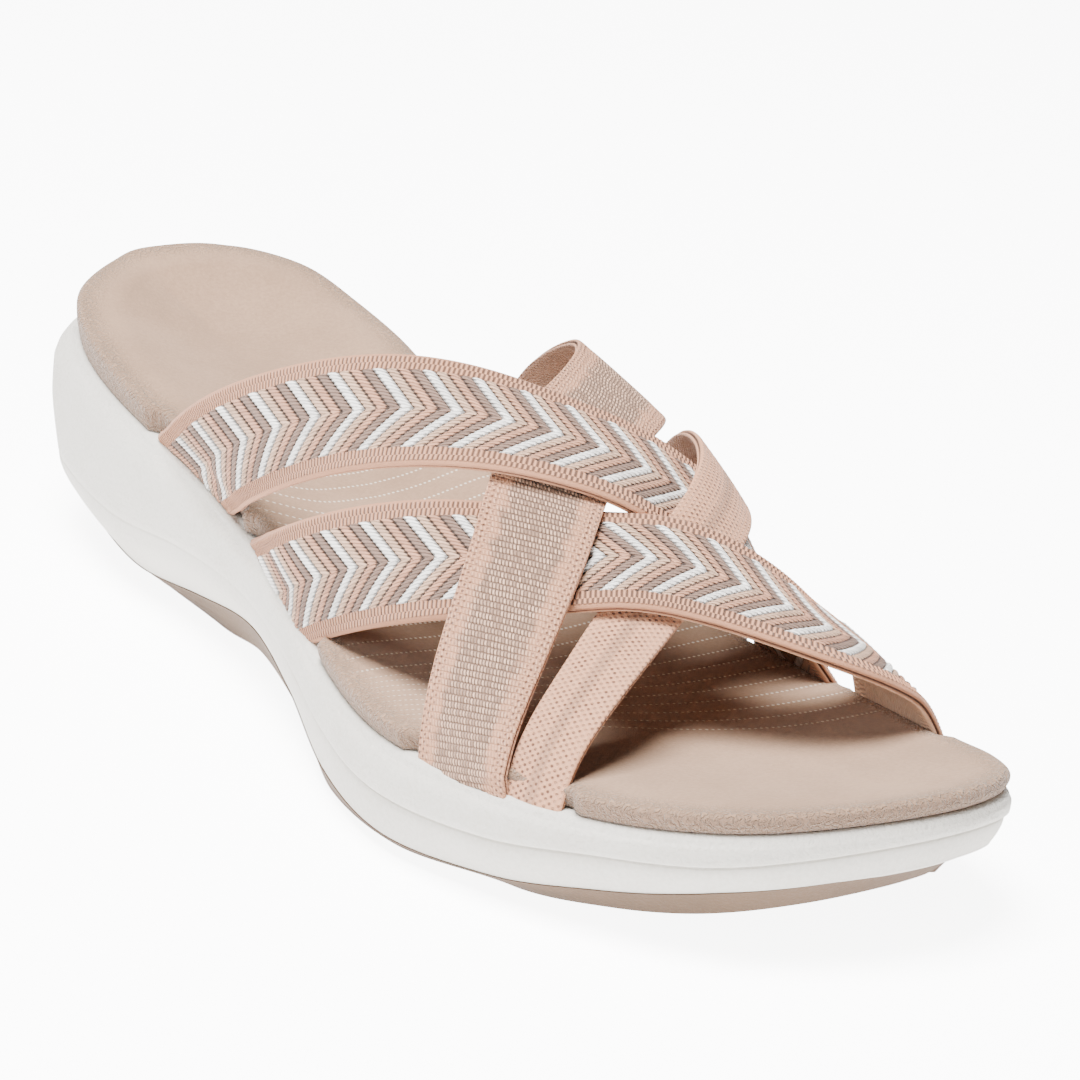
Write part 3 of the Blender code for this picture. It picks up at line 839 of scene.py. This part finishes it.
# %% Node helper
class Weaver:
    """Adds nodes to one tree and joins them."""

    def __init__(self, tree):
        self.tree = tree

    def node(self, kind, values, **settings):
        node = self.tree.nodes.new(kind)
        for key, value in settings.items():
            setattr(node, key, value)
        for key, value in values.items():
            self.feed(node.inputs[key], value)
        return node

    def feed(self, place, value):
        if isinstance(value, Value):
            self.tree.links.new(value.socket, place)
        else:
            place.default_value = value

    def put(self, kind, values, output=0, **settings):
        return Value(self, self.node(kind, values, **settings).outputs[output])

    def math(self, operation, *values):
        return self.put("ShaderNodeMath", dict(enumerate(values)), operation=operation)

    def apart(self, first, second):
        return (first * first + second * second).does("SQRT")

    def mix(self, share, first, second):
        first, second = (value if isinstance(value, Value) else (*value, 1.0) for value in (first, second))
        return self.put("ShaderNodeMix", {0: share, 6: first, 7: second}, 2, data_type="RGBA")

    def split(self, vector):
        return [Value(self, part) for part in self.node("ShaderNodeSeparateXYZ", {0: vector}).outputs]

    def noise(self, vector, scale, detail=3.0, roughness=0.55):
        return self.put("ShaderNodeTexNoise", {"Vector": vector, "Scale": scale, "Detail": detail,
                                               "Roughness": roughness}, "Fac")

    def chance(self, *places):
        """One steady random number for each whole cell."""
        cell = {k: self.math("FLOOR", place) for k, place in enumerate(places)}
        cell = self.put("ShaderNodeCombineXYZ", cell)
        return self.put("ShaderNodeTexWhiteNoise", {"Vector": cell}, "Value", noise_dimensions="3D")

    def place(self):
        return self.put("ShaderNodeTexCoord", {}, "Object")

    def mark(self, name, output="Fac"):
        return self.put("ShaderNodeAttribute", {}, output, attribute_name=name)

    def effect(self, group, values):
        return [Value(self, part) for part in self.node("ShaderNodeGroup", values, node_tree=group).outputs]


SHINE = 0.3


def new_finish(name, roughness, sheen=0.0):
    """Material with its shader and a helper for its nodes."""
    material = bpy.data.materials.new(name)
    material.use_nodes = True
    shader = material.node_tree.nodes["Principled BSDF"]
    shader.inputs["Roughness"].default_value = roughness
    shader.inputs["Sheen Weight"].default_value = sheen
    shader.inputs["Specular IOR Level"].default_value = SHINE
    return material, shader, Weaver(material.node_tree)


def dress(weaver, shader, shade, height, distance, roughness=None):
    """Send a colour, a height and a roughness that change over the surface to the shader."""
    bump = weaver.put("ShaderNodeBump", {"Height": height, "Distance": distance, "Strength": 1.0}, "Normal")
    weaver.feed(shader.inputs["Base Color"], shade)
    weaver.feed(shader.inputs["Normal"], bump)
    if roughness is not None:
        weaver.feed(shader.inputs["Roughness"], roughness)


print("node helper ready")

# %% [markdown]
# ## Effects that several finishes share
# Moulded and napped surfaces all have slow clouds and fine specks, and all straps have fuzz, a groove between
# their two layers and a plainer inside. Each such effect is a node group: made once, then placed in each
# material with its own values. A group here gives out masks and heights only. The shader stays in the material.

# %% Shared effects
def shared_effect(name, inputs, outputs):
    """Empty node group with named sockets, a helper for its nodes and the values given to it."""
    group = bpy.data.node_groups.new(name, "ShaderNodeTree")
    for label in inputs:
        kind = "Vector" if label in ("Place", "Weave") else "Float"
        group.interface.new_socket(label, in_out="INPUT", socket_type="NodeSocket" + kind)
    for label in outputs:
        group.interface.new_socket(label, in_out="OUTPUT", socket_type="NodeSocketFloat")
    weaver = Weaver(group)
    sockets = weaver.node("NodeGroupInput", {}).outputs
    return group, weaver, [Value(weaver, sockets[label]) for label in inputs]


def give_out(weaver, values):
    """Join the results to the group's outputs."""
    weaver.node("NodeGroupOutput", values)


MOTTLE, weaver, (place, broad, fine) = shared_effect("mottle", ["Place", "Broad", "Fine"], ["Cloud", "Speck"])
give_out(weaver, {"Cloud": weaver.noise(place, broad, 4.0), "Speck": weaver.noise(place, fine, 3.0, 0.6)})

FIBRE, weaver, (weave, scale) = shared_effect("fibre", ["Weave", "Scale"], ["Fuzz", "Drift"])
give_out(weaver, {"Fuzz": weaver.noise(weave, scale, 3.0, 0.65), "Drift": weaver.noise(weave, 0.35)})

LAYERS, weaver, (inside,) = shared_effect("two_layers", ["Inside"], ["Groove", "Back"])
give_out(weaver, {"Groove": inside.step(0.34, 0.44) * inside.step(0.68, 0.58), "Back": inside.step(0.66, 0.95)})

PINHOLES, weaver, (along, across, along_pitch, across_pitch, size) = shared_effect(
    "pinholes", ["Along", "Across", "Along Pitch", "Across Pitch", "Size"], ["Hole"])
row = across / across_pitch + 100.0
odd = row.does("FLOOR").does("MODULO", 2.0)
turn = along / along_pitch + odd * 0.5
apart = weaver.apart((turn.does("FRACT") - 0.5) * along_pitch, (row.does("FRACT") - 0.5) * across_pitch)
give_out(weaver, {"Hole": apart.step(size * 1.4, size * 0.5)})
print("shared effects", [group.name for group in (MOTTLE, FIBRE, LAYERS, PINHOLES)])

# %% [markdown]
# ## Foam and rubber
# Moulded foam is matt, nearly white and has a fine pebble on the upper wall that stops at the mould line. The
# rubber is a smoother tan. Both get a slow change of shade, because no moulded part is one flat colour, and the
# pebble is a bump.

# %% Foam and rubber finishes
FOAM_WHITE = (0.61, 0.58, 0.53)
FOAM_SHADE = (0.53, 0.50, 0.45)
FOAM_PEBBLE = 0.0004
RUBBER_TAN = (0.112, 0.066, 0.037)
RUBBER_DARK = (0.088, 0.052, 0.029)
RUBBER_GRAIN = 0.00012


def foam_finish():
    material, shader, weaver = new_finish("white_foam", 0.6)
    cloud, speck = weaver.effect(MOTTLE, {"Place": weaver.place(), "Broad": 28.0, "Fine": 1300.0})
    pebbled = weaver.mark("upper_wall") * 0.8 + 0.2
    tone = cloud * 0.55 + speck * 0.45
    shade = weaver.mix(tone.step(0.42, 0.72), FOAM_WHITE, FOAM_SHADE)
    dress(weaver, shader, shade, speck * pebbled, FOAM_PEBBLE, speck * 0.25 + 0.5)
    return material


def rubber_finish():
    material, shader, weaver = new_finish("tan_rubber", 0.6)
    cloud, speck = weaver.effect(MOTTLE, {"Place": weaver.place(), "Broad": 40.0, "Fine": 1500.0})
    shade = weaver.mix(cloud.step(0.35, 0.75), RUBBER_TAN, RUBBER_DARK)
    dress(weaver, shader, shade, speck, RUBBER_GRAIN, speck * 0.25 + 0.5)
    return material


wedge.data.materials.append(foam_finish())
tread.data.materials.append(rubber_finish())
print("foam and rubber finished")

# %% [markdown]
# ## The footbed's cloth
# The cloth has a short nap: tiny specks of light and dark, brushed a little lighter here and there. On the
# rolled edge it is stretched over the foam and shows small worm-like wrinkles, so the rolled_edge mark turns up
# a coarser bump there, and painted shade darkens the wrinkle valleys. The side below the roll gets painted shade
# as well. Rows of small pale dots run across the bed under the straps. A row is a line of equal distance along
# the shoe that bends back towards the outer side, and dots are cut out of it at an even pitch.

# %% Footbed finish
SUEDE_LIGHT = (0.325, 0.202, 0.128)
SUEDE_TAN = (0.255, 0.157, 0.098)
# painted shade in the valleys of the rolled edge's wrinkles
SUEDE_WRINKLE_SHADE = (0.15, 0.09, 0.058)
# painted shade on the footbed's side below the roll
SUEDE_SIDE_SHADE = (0.18, 0.11, 0.072)
NAP_HEIGHT = 0.0003
DOT_WHITE = (0.62, 0.52, 0.42)
DOT_FIRST = 45.0
DOT_LAST = 86.5
DOT_BACK = -38.0
DOT_FADE = 0.5
DOT_ROW_PITCH = 4.85
DOT_PITCH = 1.0
DOT_SIZE = 0.25
DOT_BLUR = 0.08
# rows ahead bend about a line on the inner side, rows behind about one on the outer side
DOT_AXIS_Y = 37.0
DOT_BEND = 0.0085
DOT_BEND_X = (37.0, 84.5)
DOT_SIDE_Y = -8.0
DOT_SIDE_BEND = 0.03
DOT_SIDE_X = (20.0, -10.0)


def dotted_rows(weaver, place):
    """Mask of the pale dots on the bed."""
    x, y = weaver.split(weaver.put("ShaderNodeVectorMath", {0: place, 3: 1 / MM}, operation="SCALE"))[:2]
    aside = DOT_AXIS_Y - y
    beside = (DOT_SIDE_Y - y).does("MAXIMUM", 0.0)
    line = (x + aside * aside * x.step(*DOT_BEND_X).does("SQRT") * DOT_BEND
            + beside * beside * x.step(*DOT_SIDE_X) * DOT_SIDE_BEND)
    off_row = ((line - DOT_FIRST) / DOT_ROW_PITCH).does("PINGPONG", 0.5) * DOT_ROW_PITCH
    off_dot = (y / DOT_PITCH).does("PINGPONG", 0.5) * DOT_PITCH
    dot = weaver.apart(off_row, off_dot).step(DOT_SIZE + DOT_BLUR, DOT_SIZE - DOT_BLUR)
    return dot * line.step(DOT_LAST, DOT_LAST - DOT_FADE) * line.step(DOT_BACK, DOT_BACK + DOT_FADE)


def footbed_finish():
    material, shader, weaver = new_finish("tan_suede", 0.9, 0.2)
    place, mark = weaver.place(), weaver.mark("rolled_edge")
    edge, wall = mark.does("MINIMUM", 1.0), mark.step(1.3, 1.9)
    cloud, speck = weaver.effect(MOTTLE, {"Place": place, "Broad": 45.0, "Fine": 1400.0})
    tone = speck * 0.45 + cloud * 0.55
    shade = weaver.mix(tone.step(0.36, 0.66), SUEDE_TAN, SUEDE_LIGHT)
    wrinkle = abs(weaver.noise(place, 950.0, 2.0, 0.5) - 0.5)
    valley = wrinkle.step(0.09, 0.0) * edge
    # painted shade darkens the wrinkle valleys on the rolled edge
    shade = weaver.mix(valley * 0.5, shade, SUEDE_WRINKLE_SHADE)
    # painted shade on the side wall below the roll
    shade = weaver.mix(wall * 0.75, shade, SUEDE_SIDE_SHADE)
    dots = dotted_rows(weaver, place) * (1.0 - edge)
    shade = weaver.mix(dots, shade, DOT_WHITE)
    coarse = wrinkle.step(0.0, 0.16) * edge
    dress(weaver, shader, shade, speck * 0.3 + coarse * 1.1 + dots * 0.3, NAP_HEIGHT)
    return material


footbed.data.materials.append(footbed_finish())
print("footbed finished with dotted rows up to", DOT_LAST, "mm")

# %% [markdown]
# ## What every strap shares
# A strap's finish starts from its weave mark: the distance along, the distance across and how far inside the
# band a point is. The inside is plainer, and painted shade darkens the groove between the two layers.

# %% Start and end of a strap's finish
# painted shade in the groove between a strap's two layers
GROOVE_SHADE = (0.07, 0.032, 0.016)
LINING = (0.34, 0.19, 0.125)
# paler copy of the lining: painted light on the front strap's inside
LINING_PAINTED_LIGHT = (0.7, 0.46, 0.31)
FUZZ_SCALE = 4.5
STRAP_SHEEN = 0.1
CHEVRON_ROUGHNESS = 0.85
BAND_ROUGHNESS = 0.88


class StrapFinish:
    """A strap's material while it is drawn, with the marks and effects that all straps use."""

    def __init__(self, name, roughness):
        self.material, self.shader, self.weaver = new_finish(name, roughness, STRAP_SHEEN)
        self.weave = self.weaver.mark("weave", "Vector")
        self.along, self.across, inside = self.weaver.split(self.weave)
        self.span = abs(self.across)
        self.fuzz, self.drift = self.weaver.effect(FIBRE, {"Weave": self.weave, "Scale": FUZZ_SCALE})
        self.groove, self.back = self.weaver.effect(LAYERS, {"Inside": inside})

    def finish(self, shade, height, distance, lining, lining_share, groove_share):
        """Line the inside, paint shade into the groove and hand the looks to the shader."""
        shade = self.weaver.mix(self.back * lining_share, shade, lining)
        # painted shade in the groove
        shade = self.weaver.mix(self.groove * groove_share, shade, GROOVE_SHADE)
        dress(self.weaver, self.shader, shade, height, distance)
        return self.material


print("strap finish ready")

# %% [markdown]
# ## Chevron weave
# Four cords make one repeat: white, cream, salmon and taupe. The cord mark says which one a point is on, so
# colour and relief cannot drift apart. Each cord is a run of slanted beads, and painted shade darkens the small
# gaps between the beads of neighbouring cords and between the beads along a cord. Both edges are bound in
# salmon ribs that run across the edge in two offset rows, with painted shade in the valleys between the ribs.

# %% Chevron finish
CORD_COLOURS = ((0.92, 0.89, 0.85), (0.60, 0.375, 0.25), (0.54, 0.265, 0.162), (0.235, 0.145, 0.108))
# dark colour for a random tint of the beads and for painted shade in the gaps between cords and beads
CORD_TINT_AND_GAP_SHADE = (0.045, 0.027, 0.02)
BINDING_LIGHT = (0.5, 0.238, 0.136)
# painted shade in the valleys between the binding's ribs
BINDING_RIB_SHADE = (0.06, 0.028, 0.016)
BINDING_EDGE = (0.4, 0.188, 0.106)
CORD_BUMP = 0.0003
# colour of the inside of each chevron strap, and how much of the weave it hides; the front strap's inside is a
# paler copy of the lining, painted light
LININGS = {"rear": (LINING, 0.6), "front": (LINING_PAINTED_LIGHT, 0.95)}


def cord_shade(weaver, cord, span, across):
    """Colour of the cords with a random tint and painted shade in the gaps between cords and beads, and the mask
    between their beads.
    """
    turn = (cord / float(CORD_COUNT)).does("FRACT")
    yarn = CORD_COLOURS[0]
    for k in range(1, CORD_COUNT):
        yarn = weaver.mix(turn.does("GREATER_THAN", k / CORD_COUNT), yarn, CORD_COLOURS[k])
    white = turn.does("LESS_THAN", 1.0 / CORD_COUNT)
    side = cord.does("FRACT") * 2.0 - 1.0
    strand = span * (math.sqrt(2) / BEAD_PITCH) + side * BEAD_SLANT + cord.does("FLOOR") * 0.5
    between = strand.wave()
    tint = weaver.chance(cord, strand + 0.5, across.does("SIGN"))
    yarn = weaver.mix(tint * 0.28, yarn, CORD_TINT_AND_GAP_SHADE)
    # painted shade in the gaps between neighbouring cords
    gap = abs(side).step(0.76 - between * 0.36, 0.98 - between * 0.24) * (1.0 - white * 0.3)
    yarn = weaver.mix(gap * 0.95, yarn, CORD_TINT_AND_GAP_SHADE)
    # painted shade in the low places between the beads along a cord
    bead_gap_shade = between.step(0.7, 1.0) * 0.38 * (1.0 - white * 0.65)
    return weaver.mix(bead_gap_shade, yarn, CORD_TINT_AND_GAP_SHADE), between


def chevron_finish(name):
    strap = StrapFinish("chevron_weave_" + name, CHEVRON_ROUGHNESS)
    weaver, span = strap.weaver, strap.span
    yarn, between = cord_shade(weaver, weaver.mark("cord"), span, strap.across)
    rib = (strap.along / RIB_PITCH + span.does("GREATER_THAN", BINDING_SPLIT) * 0.5).wave()
    ribbed = span.step(BINDING_ROLL + 0.15, BINDING_ROLL - 0.15)
    binding = weaver.mix(ribbed, BINDING_EDGE, BINDING_LIGHT)
    # painted shade in the valleys between the ribs
    binding = weaver.mix(rib.step(0.38, 0.85) * ribbed * 0.9, binding, BINDING_RIB_SHADE)
    bound = span.step(BAND_HALF - 0.1, BAND_HALF + 0.1)
    beads = between.step(1.0, 0.4) * (1.0 - bound)
    ribs = rib.step(0.9, 0.2) * bound * ribbed
    height = beads * 0.8 + ribs + strap.fuzz * 0.5
    return strap.finish(weaver.mix(bound, yarn, binding), height, CORD_BUMP, *LININGS[name], 0.9)


for name in ("rear", "front"):
    straps[name].data.materials.append(chevron_finish(name))
print("chevron straps finished")

# %% [markdown]
# ## Plain and narrow bands
# The wide band is woven in rows of short light ticks, taupe in the middle and salmon at its edges, where lines
# of tiny holes run along it; painted shade darkens the pits between the ticks and the holes. The narrow band is
# a salmon knit: its stitches lie in a diamond grid with a pinhole beside each one, darkened by painted shade,
# and a faint tan stripe runs along its middle. Both patterns are sums of stripes along and across the band.

# %% Band finishes
BAND_TAUPE = (0.19, 0.11, 0.073)
BAND_TICK = (0.6, 0.37, 0.25)
# painted shade in the pits between the ticks
BAND_PIT_SHADE = (0.045, 0.025, 0.017)
BAND_SALMON = (0.5, 0.242, 0.138)
# painted shade in the pinholes and pits
BAND_HOLE_SHADE = (0.10, 0.042, 0.025)
BAND_BUMP = 0.00025
BAND_LINING = (LINING, 0.8, 0.95)
TICK_PITCH = 0.66
ROW_WANDER = 0.25
EDGE_HOLE_PITCH = (1.2, 0.92)


def holes(strap, across, pitch, size):
    """Mask of pinholes in offset rows."""
    return strap.weaver.effect(PINHOLES, {"Along": strap.along, "Across": across, "Along Pitch": pitch[0],
                                          "Across Pitch": pitch[1], "Size": size})[0]


def plain_finish():
    strap = StrapFinish("plain_weave", BAND_ROUGHNESS)
    weaver, span = strap.weaver, strap.span
    wander = (weaver.noise(strap.weave, 0.8, 2.0) - 0.5) * ROW_WANDER
    row = strap.along / ROW_PITCH + strap.across * ROW_SLANT + wander + 100.5
    tick = strap.across / TICK_PITCH + weaver.chance(row) + row.does("FRACT") * 0.5 + 100.0
    valley = row.wave().step(0.4, 0.05)
    stitch = tick.wave().step(0.2, 0.6) * (1.0 - valley)
    bright = weaver.chance(row, tick)
    # painted shade in the low places between the stitches
    pit_shade = tick.wave().step(0.4, 0.05) * (bright * 0.7 + 0.2)
    centre = weaver.mix(stitch * (bright * 0.85 + 0.15), BAND_TAUPE, BAND_TICK)
    centre = weaver.mix(pit_shade, centre, BAND_PIT_SHADE)
    hole = holes(strap, span, EDGE_HOLE_PITCH, 0.24) * span.step(6.5, 8.6)
    edge = weaver.mix(stitch * bright * 0.4, BAND_SALMON, BAND_TICK)
    # painted shade in the pits and in the edge holes
    edge = weaver.mix(pit_shade * 0.5, edge, BAND_HOLE_SHADE)
    edge = weaver.mix(hole * 0.85, edge, BAND_HOLE_SHADE)
    ragged = span + (strap.drift - 0.5) * 5.0
    shade = weaver.mix(ragged.step(5.2, 7.2), centre, edge)
    height = strap.fuzz * 0.5 + stitch * 0.7 - hole - valley * 0.5
    return strap.finish(shade, height, BAND_BUMP, *BAND_LINING)


def narrow_finish():
    strap = StrapFinish("narrow_knit", BAND_ROUGHNESS)
    weaver, span = strap.weaver, strap.span
    hole = holes(strap, strap.across, (KNIT_PITCH, KNIT_ROW), 0.27)
    deep = weaver.chance(strap.along / KNIT_PITCH, strap.across / KNIT_ROW)
    shade = weaver.mix(span.step(1.7, 0.5) * 0.5, BAND_SALMON, BAND_TAUPE)
    thread = (strap.across / KNIT_ROW).wave()
    shade = weaver.mix(thread.step(0.3, 0.8) * 0.2, shade, BAND_TICK)
    shade = weaver.mix(strap.drift.step(0.5, 0.8) * 0.15, shade, BAND_TICK)
    # painted shade in the pinholes, deeper in some holes and towards the middle
    dark = hole * (deep.step(0.25, 0.75) * 0.5 + span.step(5.2, 3.8) * 0.25 + 0.2)
    height = strap.fuzz * 0.5 - hole + thread * 0.4
    return strap.finish(weaver.mix(dark, shade, BAND_HOLE_SHADE), height, BAND_BUMP, *BAND_LINING)


straps["plain"].data.materials.append(plain_finish())
straps["narrow"].data.materials.append(narrow_finish())
print("bands finished")

# %% [markdown]
# ## Hanging the pieces on the frame
# Nothing on this sandal moves, so every piece rides on the one body of the frame. Each piece says which solid
# it stands for, and that solid is hidden.

# %% Ride and replace
STANDS_FOR = [(wedge, "midsole"), (tread, "outsole"), (footbed, "insole")]
STANDS_FOR += [(strap, "upper_straps") for strap in straps.values()]
for piece, node in STANDS_FOR:
    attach(piece, "root")
    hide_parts(node)
print("pieces", [piece.name for piece, node in STANDS_FOR])

# %% [markdown]
# ## Floor, light and camera
# The photo is a bright studio picture: a white ground, a broad soft light overhead, a little more from the
# outer side, and deep soft shade only under the straps. Two large area lights and a dim white surround give
# that. The pale floor glows more to the camera than to the shoe, so that the ground is white and the sole keeps
# its shade. The camera stands in front of the shoe on its outer side, a little above it, with a long lens and a
# slight roll.

# %% Stage and camera
FLOOR_SIZE = 8.0
FLOOR_WHITE = (0.9, 0.9, 0.9, 1.0)
FLOOR_ROUGHNESS = 0.95
FLOOR_GLOW = 7.4
FLOOR_BOUNCE = 2.2
SURROUND = 0.1
# name, place, watts and size of each soft light
LIGHTS = (("overhead_light", (0.06, -0.28, 1.2), 72.0, 0.6), ("side_light", (0.3, -1.25, 0.55), 12.0, 0.7))
CAMERA_PLACE = Vector((0.56997, -0.37989, 0.2855))
CAMERA_HEADING = -0.615828
CAMERA_DIP = 0.354004
CAMERA_ROLL = -0.071884
CAMERA_LENS = 132.404
SENSOR = 36.0


def studio_floor():
    clear_selection()
    bpy.ops.mesh.primitive_plane_add(size=FLOOR_SIZE)
    floor = bpy.context.object
    floor.name = "floor"
    material, shader, weaver = new_finish("pale_floor", FLOOR_ROUGHNESS)
    shader.inputs["Specular IOR Level"].default_value = 0.0
    shader.inputs["Base Color"].default_value = FLOOR_WHITE
    shader.inputs["Emission Color"].default_value = (1.0, 1.0, 1.0, 1.0)
    seen = weaver.put("ShaderNodeLightPath", {}, "Is Camera Ray")
    weaver.feed(shader.inputs["Emission Strength"], seen * (FLOOR_GLOW - FLOOR_BOUNCE) + FLOOR_BOUNCE)
    floor.data.materials.append(material)


def soft_light(name, place, energy, size):
    bpy.ops.object.light_add(type="AREA", location=place)
    light = bpy.context.object
    light.name = name
    light.data.energy = energy
    light.data.size = size
    light.rotation_euler = (-Vector(place)).to_track_quat("-Z", "Y").to_euler()


def photo_camera():
    ahead = Vector((-math.cos(CAMERA_DIP) * math.cos(CAMERA_HEADING),
                    -math.cos(CAMERA_DIP) * math.sin(CAMERA_HEADING), -math.sin(CAMERA_DIP)))
    level = ahead.cross(Vector((0, 0, 1))).normalized()
    down = ahead.cross(level)
    right = math.cos(CAMERA_ROLL) * level + math.sin(CAMERA_ROLL) * down
    down = math.cos(CAMERA_ROLL) * down - math.sin(CAMERA_ROLL) * level
    bpy.ops.object.camera_add()
    camera = bpy.context.object
    camera.name = "photo_camera"
    camera.data.lens = CAMERA_LENS
    camera.data.sensor_width = SENSOR
    turn = Matrix((right, -down, -ahead)).transposed().to_4x4()
    turn.translation = CAMERA_PLACE
    camera.matrix_world = turn
    bpy.context.scene.camera = camera


studio_floor()
world = bpy.data.worlds.new("white_surround")
bpy.context.scene.world = world
world.use_nodes = True
world.node_tree.nodes["Background"].inputs["Color"].default_value = (1.0, 1.0, 1.0, 1.0)
world.node_tree.nodes["Background"].inputs["Strength"].default_value = SURROUND
for light in LIGHTS:
    soft_light(*light)
photo_camera()
print("stage ready")
